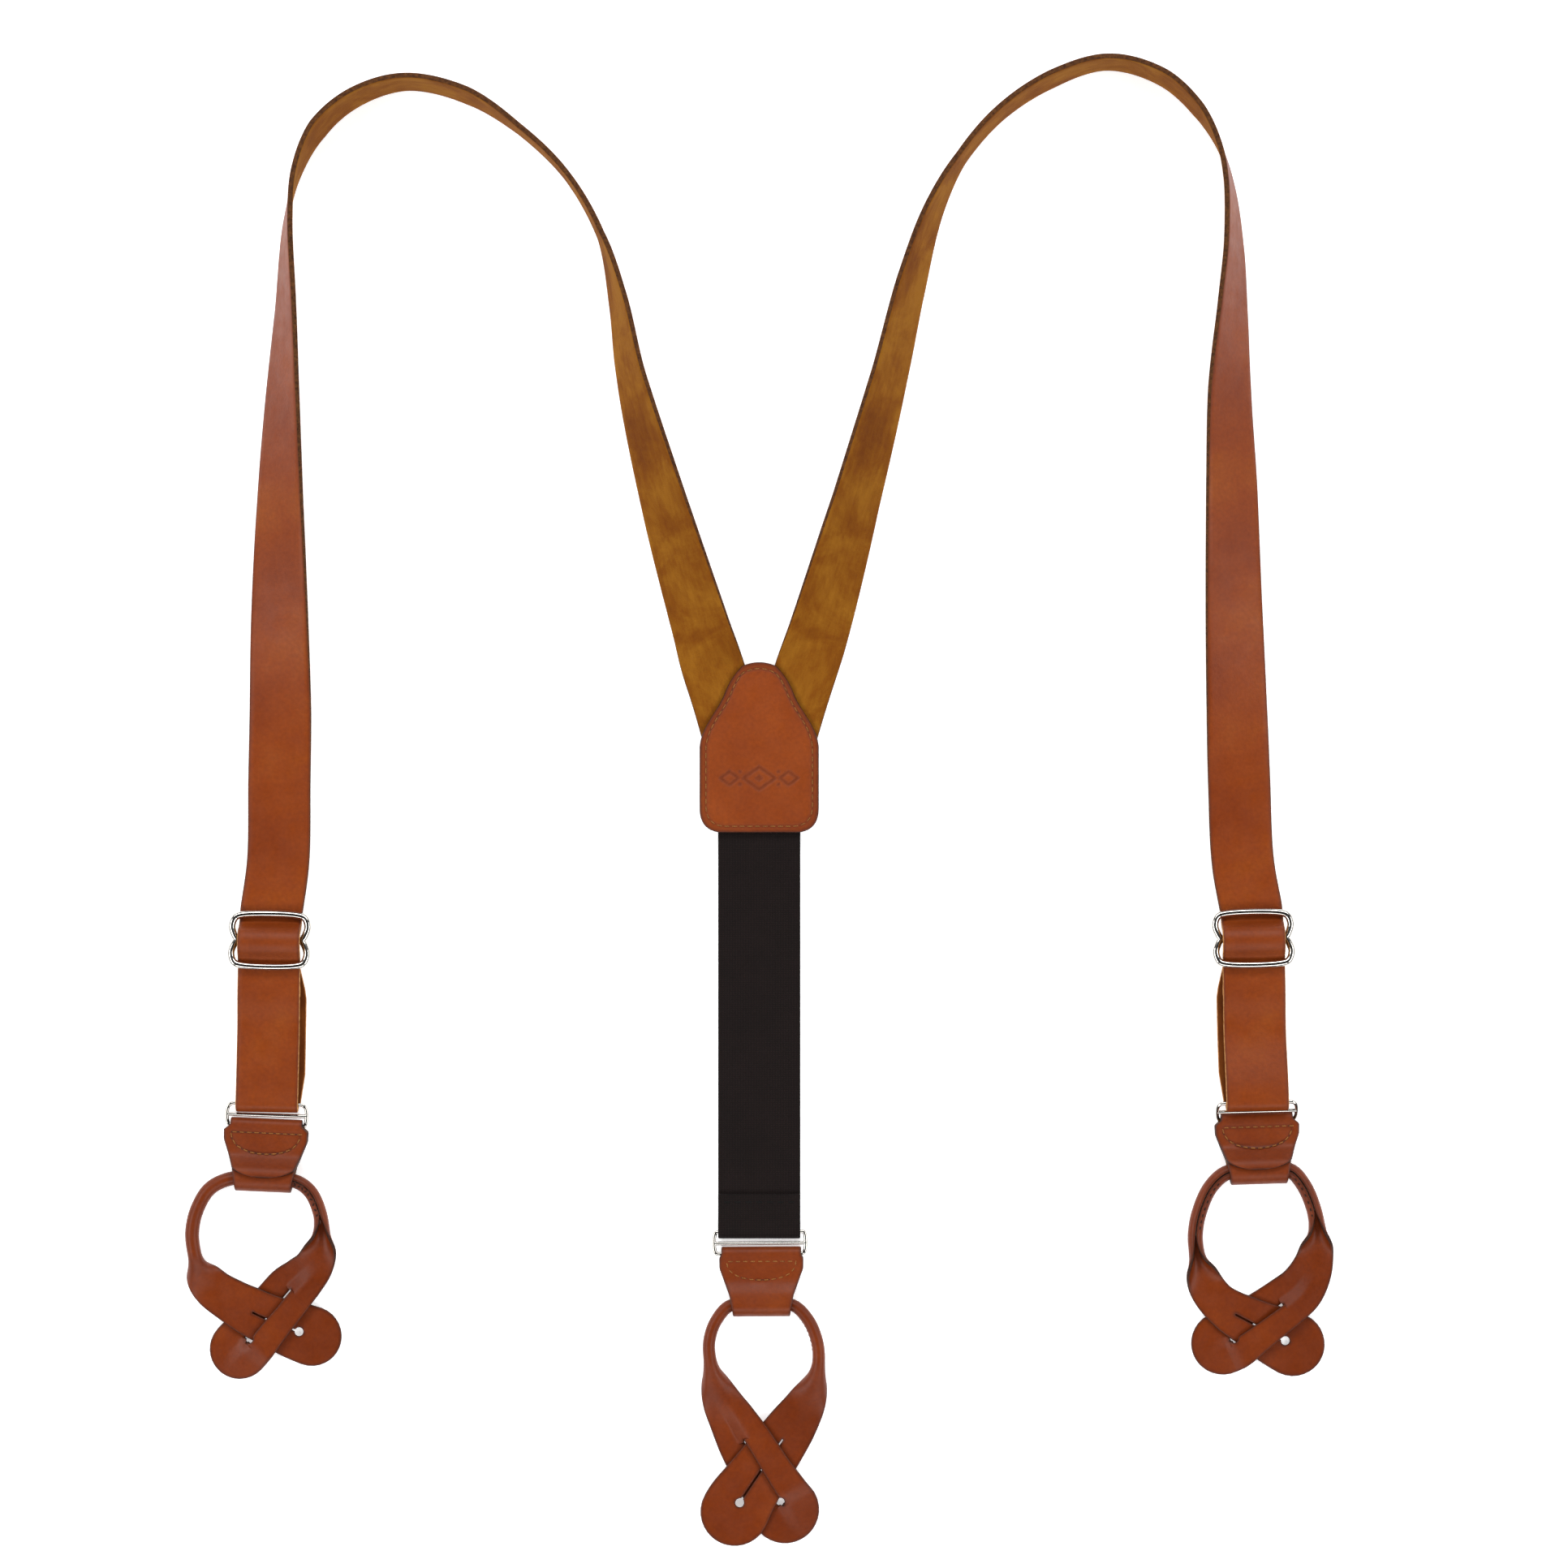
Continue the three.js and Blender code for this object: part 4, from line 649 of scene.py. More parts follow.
def stitch_master(length, radius, thread):
    """One stitch, and a flat dark disc at each of its ends, painted shade for the pricked hole. It lies along
    X and its ends dip.
    """
    deselect()
    bpy.ops.mesh.primitive_uv_sphere_add(segments=10, ring_count=8, radius=radius * MM,
                                         rotation=(0, math.pi / 2, 0))
    strand = bpy.context.active_object
    bpy.ops.object.transform_apply(rotation=True)
    for vertex in strand.data.vertices:
        x = vertex.co.x / (radius * MM)
        vertex.co.x = math.copysign(abs(x) ** 0.7, x) * length / 2 * MM
        vertex.co.z -= radius * 0.9 * MM * (vertex.co.x / (length / 2 * MM)) ** 4
    strand.data.materials.append(thread)
    strand.data.materials.append(AWL_HOLE_SHADE)
    hole_shades = []
    # Dark flattened discs at the stitch's ends: painted shade of the awl holes.
    for sign in (-1, 1):
        place = (sign * (length / 2 + radius * 0.2) * MM, 0, -radius * 0.75 * MM)
        bpy.ops.mesh.primitive_uv_sphere_add(segments=8, ring_count=5, radius=radius * 1.35 * MM,
                                             location=place, scale=(1, 0.85, 0.18))
        hole = bpy.context.active_object
        bpy.ops.object.transform_apply(location=True, scale=True)
        hole.data.materials.append(thread)
        hole.data.materials.append(AWL_HOLE_SHADE)
        for face in hole.data.polygons:
            face.material_index = 1
        hole_shades.append(hole)
    master = join("stitch", [strand, *hole_shades])
    bpy.ops.object.shade_smooth()
    return master


def sew(name, spots, length, thread=None, radius=THREAD):
    """Copies a stitch to each (centre, direction, up) and joins the copies."""
    master = stitch_master(length, radius, thread or TAN_THREAD)
    shape = np.array([v.co for v in master.data.vertices])
    copies = []
    for centre, direction, up in spots:
        along = np.array(direction, float) / np.linalg.norm(direction)
        side = np.cross(up, along)
        side /= np.linalg.norm(side)
        placed = shape @ np.stack([along, side, np.cross(along, side)]) + np.array(centre) * MM
        copy = bpy.data.objects.new("stitch_copy", master.data.copy())
        copy.data.vertices.foreach_set("co", placed.ravel())
        bpy.context.scene.collection.objects.link(copy)
        copies.append(copy)
    bpy.data.objects.remove(master)
    return join(name, copies)


def along_line(points, pitch, closed=False):
    """Places every pitch along a line, with the line's direction there."""
    points = np.array(points, float)
    if closed:
        points = np.vstack([points, points[:1]])
    length = np.concatenate([[0], np.cumsum(np.linalg.norm(np.diff(points, axis=0), axis=1))])
    count = max(1, round(length[-1] / pitch))
    places = (np.arange(count) + 0.5) * length[-1] / count

    def at(s):
        return np.stack([np.interp(s, length, points[:, k]) for k in range(points.shape[1])], axis=-1)

    return list(zip(at(places), at(places + 0.05) - at(places - 0.05)))


def top_of(piece, x, y, reach=1.2):
    """Height of a piece's upper surface near a place, in millimetres."""
    cloud = np.array([v.co for v in piece.data.vertices]) / MM
    near = cloud[np.hypot(cloud[:, 0] - x, cloud[:, 1] - y) < reach]
    return float(near[:, 2].max())


# ---- straps -----------------------------------------------------------------------------------

# x, y, bank. Bank is 0 with the flesh side up, 90 on edge and 180 with the grain side up.
STRAP_ROUTES = {
    "left": [
        (-5.8, -12, 0), (-14.5, 19, 0), (-18.5, 31.5, 0), (-23, 46.5, 21), (-38.5, 99, 44), (-52, 151, 65),
        (-57, 180.5, 75), (-64, 207, 87), (-78, 231.5, 89), (-97, 250, 89), (-118, 263.5, 84),
        (-143, 269, 85),
        (-164, 262.5, 83), (-178.5, 250, 82), (-187, 233, 90), (-190.5, 213.5, 99), (-191.5, 177.5, 111),
        (-193, 138, 126), (-194, 99, 140), (-194.5, 53, 159), (-194.5, 13.5, 175), (-195, -13, 180),
        (-195.5, -46, 180),
    ],
    "right": [
        (5.8, -12, 0), (15, 19, 0), (19, 31.5, 0), (24, 46.5, 15), (39, 99, 42), (53, 151.5, 57),
        (61.5, 187.5, 64), (70.5, 217, 75), (81.5, 238, 84), (97.5, 256.5, 84), (118, 270, 83),
        (141, 277, 86),
        (163, 271, 86), (177.5, 258, 88), (186, 243.5, 95), (190, 228.5, 100), (192, 203.5, 109),
        (191.5, 177.5, 120), (190.5, 145, 135), (191.5, 105.5, 147), (192.5, 59.5, 157),
        (194, 13.5, 170), (195, -13, 180), (196.5, -46, 180),
    ],
}
YOKE_ROWS = 2
STRAP_EDGE_ROUND = 0.6
STRAP_PITCH = 2.1        # mesh pitch across a strap
STRAP_STATIONS = 330     # mesh rows along a strap


# The stretch of strap along the slide's travel: how far it reaches, and how far its line leans aside, away
# from the yoke. The point they give only goes into the blend, whose points finish_piece does not read, so no
# stretch is made to give.
GIVE_LENGTH = 130
GIVE_ASIDE = 100


def strap(side):
    """One long strap, from inside the yoke over the shoulder to the slide's upper bar."""
    spot = drop_spot(side)
    end = spot([0, SLIDE_REACH + GAP / 2, 0])
    rows = [*STRAP_ROUTES[side], (end[0], end[1], 180)]
    plan = [np.array([x, y, 0.0]) for x, y, _ in rows]
    banks = [(row, bank) for row, (_, _, bank) in enumerate(rows)]
    inward = 1 if side == "left" else -1
    columns = edge_columns(STRAP_WIDTH / 2, STRAP_EDGE_ROUND, STRAP_PITCH)
    last = len(rows) - 1
    fine = [0, 0.002, 0.007, 0.014]
    middle = np.linspace(0.02, last - 0.03, STRAP_STATIONS)
    stations = [*fine, *middle, *[last - 1.2 * f for f in reversed(fine)]]
    up = np.array([0.0, 0.0, 1.0])
    mid = np.zeros((len(stations), len(columns), 3))
    for i, row in enumerate(stations):
        p = plan_point(plan, row)
        along = plan_tangent(plan, row) if row < last - 0.05 else -spot.y
        bank = math.radians(read_table(banks, row))
        inner = np.cross(up, along) * inward
        flesh = up * math.cos(bank) + inner * math.sin(bank)
        across = np.cross(along, flesh)
        p[2] = STRAP_WIDTH / 2 * math.sin(bank) + STRAP_REST * abs(math.cos(bank))
        p[2] += YOKE_LAYER * min(max(YOKE_ROWS + 1 - row, 0), 1)
        mid[i] = p + across * columns[:, None]
    length = np.concatenate([[0], np.cumsum(np.linalg.norm(np.diff(mid.mean(axis=1), axis=0), axis=1))])
    to_end = np.minimum(length, length[-1] - length)[:, None]
    depth = np.minimum(STRAP_WIDTH / 2 - np.abs(columns)[None, :], to_end)
    piece = laid_sheet(f"{side}_strap_leather", mid, depth, STRAP_THICK, STRAP_EDGE_ROUND,
                       (FLESH, GRAIN, STRAP_EDGE))
    trim_under_yoke(piece, inward)
    foot = spot([0, SLIDE_REACH, 0]) * MM
    reach = spot([inward * GIVE_ASIDE, SLIDE_REACH + GIVE_LENGTH, 0]) * MM
    finish_piece(piece, f"{side}_strap", blend=("harness", f"{side}_slide", reach, foot))


def trim_under_yoke(piece, inward):
    """Cuts the hidden end: the two straps butt at the middle and stop above the elastic."""
    cuts = [((-inward * GAP / 2 * MM, 0, 0), (inward, 0, 0)),
            ((0, (ELASTIC_START + 2 * GAP) * MM, 0), (0, -1, 0))]
    for place, normal in cuts:
        activate(piece)
        mesh = piece.data
        centres = np.array([face.center for face in mesh.polygons]) / MM
        hidden = (np.abs(centres[:, 0]) < YOKE_HALF_WIDTH + 10) & (centres[:, 1] < YOKE_TOP - 4)
        bpy.context.tool_settings.mesh_select_mode = (False, False, True)
        mesh.vertices.foreach_set("select", np.zeros(len(mesh.vertices), bool))
        mesh.edges.foreach_set("select", np.zeros(len(mesh.edges), bool))
        mesh.polygons.foreach_set("select", hidden)
        bpy.ops.object.mode_set(mode="EDIT")
        bpy.ops.mesh.bisect(plane_co=place, plane_no=normal, use_fill=True, clear_outer=True)
        bpy.ops.object.mode_set(mode="OBJECT")


def doubled_run(side):
    """Lower run of the strap: over the slide's middle bar, down round the ring, back up and sewn."""
    spot = drop_spot(side)
    ring_z = JOINTS[f"{side}_ring_swing"]["pos_m"][2] / MM
    wrap = SLIDE_BAR + BEND_GAP + SKIVED_THICK / 2
    bend = RING_WIRE + BEND_GAP + STRAP_THICK / 2
    crest = SLIDE_Z + wrap + SKIVED_THICK / 2 + GAP + STRAP_THICK / 2 + 0.35
    lift = ring_z - FRONT_RING_Z
    closed_z = STRAP_THICK + GAP + STRAP_REST
    flap_end = -FLAP_LENGTH
    low, reach = -DROP_LENGTH, SLIDE_REACH
    front = side_curve([
        (reach - GAP / 2, STRAP_REST), (reach - 2.3, STRAP_REST + 0.4), (reach - 4.1, STRAP_REST + 1.9),
        (reach - 5.6, crest - 4.5), (reach - 7.1, crest - 1.5), (-0.2, crest), (-3.6, crest - 0.9),
        (-7, COVER_Z + 1.4), (-reach, COVER_Z), (flap_end + 5, COVER_Z), (flap_end - 1, COVER_Z - 0.2),
        (flap_end - 10, closed_z), (low + 25, closed_z + 0.1 * lift), (low + 8, ring_z + bend - 1.1),
        (low, ring_z + bend),
    ], 112)
    back = side_curve([
        (low, ring_z - bend), (low + 9, STRAP_REST + 0.8 * lift), (low + 26, STRAP_REST + 0.1 * lift),
        (low + 33, STRAP_REST + 0.01 * lift), (flap_end, STRAP_REST), (-13, STRAP_REST),
        (-6.5, STRAP_REST + 1.4), (0, SLIDE_Z - wrap),
    ], 64)
    flap = side_curve([
        (0, SLIDE_Z + wrap), (-3.4, SLIDE_Z + wrap - 0.95), (-7, FLAP_Z + 1.5),
        (-reach - 0.6, FLAP_Z), (flap_end + 5, FLAP_Z), (flap_end, FLAP_Z),
    ], 30)
    path = join_paths(front, arc((low, ring_z), bend, 90, 270, 18), back,
                      arc((0, SLIDE_Z), wrap, -90, 90, 14), flap)
    turn = len(front) + 17
    rise = turn + 64
    aside = RETURN_SHIFT if side == "left" else -RETURN_SHIFT
    thick = [STRAP_THICK if i <= turn else
             (read_table([(-28, STRAP_THICK), (-12, SKIVED_THICK)], p[0]) if i <= rise else SKIVED_THICK)
             for i, p in enumerate(path)]

    def half_at(p, i):
        if i <= turn:
            return STRAP_WIDTH / 2
        return read_table([(-20, STRAP_WIDTH / 2), (-8, WRAP_WIDTH / 2)], p[0])

    def shift_at(p, i):
        table = [(low, 0.3), (low + 12, 1), (-24, 1), (-8, 0)]
        return aside * read_table(table, p[0]) * (turn < i <= rise)

    # The run's flesh side takes the darker flesh colour, painted shade on the return layer.
    piece = bent_strip(f"{side}_doubled_run", path, thick, half_at, shift_at, spot, STRAP_EDGE_ROUND,
                       STRAP_PITCH, (SHADED_FLESH, GRAIN, RUN_EDGE))
    top, bottom = spot([0, flap_end - 3, 0]) * MM, spot([0, low + 6, 0]) * MM
    finish_piece(piece, f"{side}_strap_loop",
                 blend=(f"{side}_slide", f"{side}_drop", top, bottom))
    seam_z = FLAP_Z + SKIVED_THICK / 2 + GAP / 3
    row = spot([(x, flap_end + 3, seam_z) for x in (-9, 9)])
    stitches = [(c, d, (0, 0, 1)) for c, d in along_line(row, 3)]
    seam = sew(f"{side}_strap_end_stitches", stitches, 2.2, radius=THREAD / 2)
    finish_piece(seam, f"{side}_strap_end_thread", f"{side}_slide")


# ---- yoke -------------------------------------------------------------------------------------


def bell_outline(inset):
    """Outline of the bell-shaped patch, moved in from the cut edge."""
    top, half = YOKE_TOP - inset, YOKE_HALF_WIDTH - inset
    sx, sy = 7 - inset * 0.35, top - 1.6
    corner = 10 - inset * 0.6
    right = bezier((half, 0), (half - 0.6, 8.5), (half - 7.5, 15), (half - 10, 21.5), 20)
    right += bezier((half - 10, 21.5), (half - 12, 27), (half - 14.5, 30), (sx, sy), 20)[1:]
    crown = [np.array([sx * (1 - 2 * t), sy * (1 - t) ** 2 + 2 * t * (1 - t) * (top + 1.6) + sy * t * t])
             for t in np.linspace(0, 1, 25)][1:-1]
    turn = [np.array([half - corner * t * t, -top + corner * (1 - t) ** 2]) for t in np.linspace(0, 1, 16)]
    upper = right + crown + [np.array([-x, y]) for x, y in reversed(right)]
    lower = [np.array([-x, y]) for x, y in turn] + list(reversed(turn))
    return np.array(upper + lower)


def distance_to_line(x, y, line, closed=True):
    """Distance from each place to a line of points."""
    ends = np.roll(line, -1, axis=0) if closed else line[1:]
    starts = line if closed else line[:-1]
    best = np.full(x.shape, 1e9)
    for a, b in zip(starts, ends):
        d = b - a
        t = np.clip(((x - a[0]) * d[0] + (y - a[1]) * d[1]) / max(d @ d, 1e-12), 0, 1)
        best = np.minimum(best, np.hypot(x - a[0] - t * d[0], y - a[1] - t * d[1]))
    return best


def blind_stamp(x, y):
    """A plain pressed ornament on the lower half of the patch: three lozenges with dots between."""
    cx, cy = np.abs(x), y + 12.5
    centre = np.abs(cx / 6.4 + np.abs(cy) / 4.6 - 1)
    beside = np.abs(np.abs(cx - 12.0) / 3.6 + np.abs(cy) / 2.7 - 1)
    lines = [1 - ease(centre, 0.10, 0.26), 1 - ease(beside, 0.16, 0.40)]
    heart = 1 - ease(cx / 2.0 + np.abs(cy) / 1.5, 0.75, 1.15)
    dots = 1 - ease(np.hypot(cx - 7.9, np.abs(cy) - 2.6), 0.45, 0.95)
    return np.maximum.reduce([*lines, heart, dots])


PATCH_PITCH = 0.62       # mesh pitch across a patch
SEAM_GROOVE = 0.22       # depth of the groove under the stitches
EDGE_FALL = 0.18         # how far the leather thins towards its cut edge
STAMP_DEPTH = 0.42
PATCH_CROWN = 0.10       # how far the middle stands up
STITCH_SINK = 0.18


def yoke_patch(name, node, z, inner_side):
    """Bell-shaped patch with a rubbed edge; the sewn line lies in a shallow groove."""
    outline = bell_outline(0)
    edge = 0.55
    steps = [edge * (1 - math.cos(math.radians(a))) for a in (0, 20, 42, 66)]
    crown = YOKE_TOP - 0.02
    ys = np.array([-YOKE_TOP + s for s in steps] + list(np.linspace(-YOKE_TOP + edge, 32.6, 118))
                  + list(crown - 2.0 * (1 - np.sin(np.linspace(0.1, math.pi / 2, 9)))))
    right = outline[outline[:, 0] >= 0]
    order = np.argsort(right[:, 1])
    halves = np.interp(ys, right[order, 1], right[order, 0])
    halves = np.maximum(halves, 0.25)
    share = edge_columns(YOKE_HALF_WIDTH, edge, PATCH_PITCH) / YOKE_HALF_WIDTH
    x = halves[:, None] * share
    y = np.broadcast_to(ys[:, None], x.shape)
    depth = distance_to_line(x, y, outline)
    border = np.zeros_like(depth, bool)
    border[0], border[-1], border[:, 0], border[:, -1] = True, True, True, True
    depth = np.where(border, 0, depth)
    mid = np.stack([x, y, np.full_like(x, z + PATCH_THICK / 2)], axis=2)
    seam = distance_to_line(x, y, bell_outline(STITCH_INSET))
    # On the inner side these hollows also darken the colour, as painted shade.
    relief = -SEAM_GROOVE * (1 - ease(seam, 0.15, 0.85)) - EDGE_FALL * (1 - ease(depth, 0.4, 5.0))
    if inner_side:
        relief -= STAMP_DEPTH * blind_stamp(x, y)
        relief += PATCH_CROWN * ease(depth, 4, 12)
    materials = (PATCH_GRAIN, FLESH, DARK_EDGE) if inner_side else (FLESH, PATCH_GRAIN, DARK_EDGE)
    piece = laid_sheet(name, mid, depth, PATCH_THICK, edge, materials,
                       relief=relief if inner_side else None, smooth=60)
    finish_piece(piece, node, "harness")


def yoke():
    """The two patches that hold the straps and the elastic, and the line that sews them."""
    yoke_patch("yoke_inner_leather", "yoke_inner_patch", INNER_PATCH_Z, True)
    yoke_patch("yoke_outer_leather", "yoke_outer_patch", 0, False)
    top = INNER_PATCH_Z + PATCH_THICK - STITCH_SINK
    line = [(x, y, top) for x, y in bell_outline(STITCH_INSET)]
    spots = [(c, d, (0, 0, 1)) for c, d in along_line(line, 3.1, closed=True)]
    seam = sew("yoke_stitches", spots, 2.3, radius=0.24)
    finish_piece(seam, "yoke_thread", "harness")


# ---- elastic ----------------------------------------------------------------------------------


def elastic_band():
    """Woven band sewn into the yoke, folded up round the back ring and sewn down."""
    bend = RING_WIRE + BEND_GAP + ELASTIC_THICK / 2
    rest = ELASTIC_THICK / 2
    ring_y = ELASTIC_START - ELASTIC_LENGTH
    closed_z = rest + ELASTIC_THICK + GAP
    hem = -YOKE_TOP
    path = join_paths(
        side_curve([(ELASTIC_START, YOKE_LAYER + rest), (-24, YOKE_LAYER + rest),
                    (hem - 1, YOKE_LAYER + rest),
                    (hem - 12, rest + 0.9), (hem - 26, rest + 0.12), (-110, rest), (ring_y + 20, rest),
                    (ring_y, rest)], 120),
        arc((ring_y, BACK_RING_Z), bend, -90, -270, 18),
        side_curve([(ring_y, BACK_RING_Z + bend), (ring_y + 3.5, BACK_RING_Z + bend - 0.6),
                    (ring_y + 8, closed_z + 0.1), (ring_y + ELASTIC_RETURN, closed_z)], 24),
    )
    edge = 0.45
    path, _, _ = dense(path, 1.5, edge)

    def seam_dip(mid, _):
        on_return = (mid[:, :, 2] > ELASTIC_THICK) & (mid[:, :, 1] < ring_y + ELASTIC_RETURN + 1)
        return 0.16 * on_return * (1 - ease(np.abs(mid[:, :, 1] - ring_y - ELASTIC_RETURN + 3.2), 0.3, 1.6))

    piece = bent_strip("elastic_webbing", path, ELASTIC_THICK, lambda p, i: ELASTIC_WIDTH / 2,
                       lambda p, i: 0.0, YOKE_SPOT, edge, 1.1, (ELASTIC, ELASTIC, ELASTIC), seam_dip)
    start, end = (0, -YOKE_TOP * MM, 0), (0, (ring_y + 22) * MM, 0)
    finish_piece(piece, "elastic_band", blend=("harness", "back_band", start, end))
    top = closed_z + rest + 0.05
    half = ELASTIC_WIDTH / 2 - 1.5
    row = [(x, ring_y + ELASTIC_RETURN - 3.2, top) for x in (-half, half)]
    spots = [(c, d, (0, 0, 1)) for c, d in along_line(row, 4.6)]
    seam = sew("elastic_stitches", spots, 3.2, DARK_THREAD, radius=0.34)
    finish_piece(seam, "elastic_thread", "back_band")


# ---- holders ----------------------------------------------------------------------------------

HOLDER_OUTLINE = [(2, 17.1), (6, 17), (11.5, 15), (16.5, 13.1), (22, 12), (27, 11.3)]
FLAP_ROUND = 4.3
HOLDER_TAIL = -3.6
HOLDER_EDGE = 0.5


def tube_bend(tube):
    return tube + TUBE_GAP + HOLDER_THICK / 2


def tube_height(tube):
    return tube_bend(tube) + HOLDER_THICK / 2


def seam_outline(start, end):
    """D-shaped seam: straight below the ring, round towards the loop."""
    half, belly = 14.0, -(start + end) / 2 - 2
    left = bezier((-half, -start), (-half, belly), (-half / 2, -end), (0, -end), 14)
    right = bezier((0, -end), (half / 2, -end), (half, belly), (half, -start), 14)[1:]
    return np.array(left + right)


def holder(side, loop, fold_half, seam, is_front):
    """Holder: folded over the ring's lower bar and round the rolled loop, its flap sewn down."""
    spot = hinge_spot(f"{side}_holder_swing", sign=-1)
    half = HOLDER_THICK / 2
    tube, depth = loop["tube"], loop["depth"]
    tube_z, tube_top = tube_height(tube), tube_height(tube) + tube_bend(tube)
    top_layer = half + 2 * HOLDER_LAYER
    if is_front:
        flap_end = -depth + 1.1
        shown = side_curve([(flap_end, tube_top + HOLDER_LAYER - 0.2),
                            (flap_end + 2.6, tube_top + HOLDER_LAYER - 0.9),
                            (flap_end + 5.6, tube_top + HOLDER_LAYER - 3.6), (flap_end + 9, top_layer + 0.5),
                            (-7, top_layer), (0, HOLDER_BAR_Z + HOLDER_BEND)], 48)
        tail = side_curve([(-depth, tube_top), (flap_end + 2.6, tube_top - 0.9),
                           (flap_end + 5.6, tube_top - 3.7),
                           (flap_end + 9, half + HOLDER_LAYER + 0.4), (-8.5, half + HOLDER_LAYER),
                           (HOLDER_TAIL, half + HOLDER_LAYER)], 36)
        stretches = (shown, arc((0, HOLDER_BAR_Z), HOLDER_BEND, 90, -90, 16),
                     [(-depth * k, half) for k in np.linspace(0, 1, 16)],
                     arc((-depth, tube_z), tube_bend(tube), 270, 90, 20), tail)
        flap_count = len(shown)
        materials = (HOLDER_GRAIN, FLESH, DARK_EDGE)
    else:
        flap_end = -14.5
        flap = [(y, half) for y in np.linspace(flap_end, 0, 18)]
        shown = side_curve([(0, HOLDER_BAR_Z + HOLDER_BEND), (-7, top_layer), (-11.5, top_layer + 0.5),
                            (-16, tube_top - 1.1), (-depth, tube_top)], 40)
        tail = side_curve([(-depth, half), (-depth + 2.4, half + 0.4),
                           (flap_end - 1.3, half + HOLDER_LAYER - 0.2),
                           (flap_end + 2, half + HOLDER_LAYER), (-8, half + HOLDER_LAYER),
                           (HOLDER_TAIL, half + HOLDER_LAYER)], 36)
        stretches = (flap, arc((0, HOLDER_BAR_Z), HOLDER_BEND, -90, 90, 16), shown,
                     arc((-depth, tube_z), tube_bend(tube), 90, 270, 20), tail)
        flap_count = len(flap)
        materials = (FLESH, HOLDER_GRAIN, DARK_EDGE)
    joined = join_paths(*[[np.array(p, float) for p in stretch] for stretch in stretches])
    path, places, length = dense(joined, 0.8, HOLDER_EDGE)
    flap_length = length[flap_count - 1]
    table = [(0, fold_half), *[(-y, w) for y, w in HOLDER_OUTLINE]]

    def half_at(p, i):
        width = read_table(table, p[0])
        left = p[0] - flap_end
        if places[i] > flap_length or left >= FLAP_ROUND:
            return width
        share = 1 - max(left, 0) / FLAP_ROUND
        return max(width * math.sqrt(1 - share * share), 1.2)

    line = seam_outline(*seam)

    # On the front holders this groove also darkens the flap's colour, as painted shade.
    def groove(mid, rows):
        shown_rows = (places[rows] < flap_length)[:, None] if is_front else False
        near = distance_to_line(mid[:, :, 0], mid[:, :, 1], line)
        return -0.22 * (1 - ease(near, 0.2, 0.9)) * shown_rows

    piece = bent_strip(f"{side}_holder_leather", path, HOLDER_THICK, half_at, lambda p, i: 0.0, spot,
                       HOLDER_EDGE, 0.9, materials, groove)
    body = f"{side}_holder_body"
    finish_piece(piece, f"{side}_holder", body)
    spots = []
    for place, direction in along_line(line, 3.0, closed=True):
        x, y, _ = spot([*place, 0])
        ahead = spot([*(place + direction), 0])
        z = top_of(piece, x, y)
        towards = np.array([ahead[0] - x, ahead[1] - y, 0.0])
        spots.append(((x, y, z - 0.02), towards, (0, 0, 1)))
    stitches = sew(f"{side}_holder_stitches", spots, 2.1, radius=0.25)
    finish_piece(stitches, f"{side}_holder_thread", body)


# ---- button loops -----------------------------------------------------------------------------

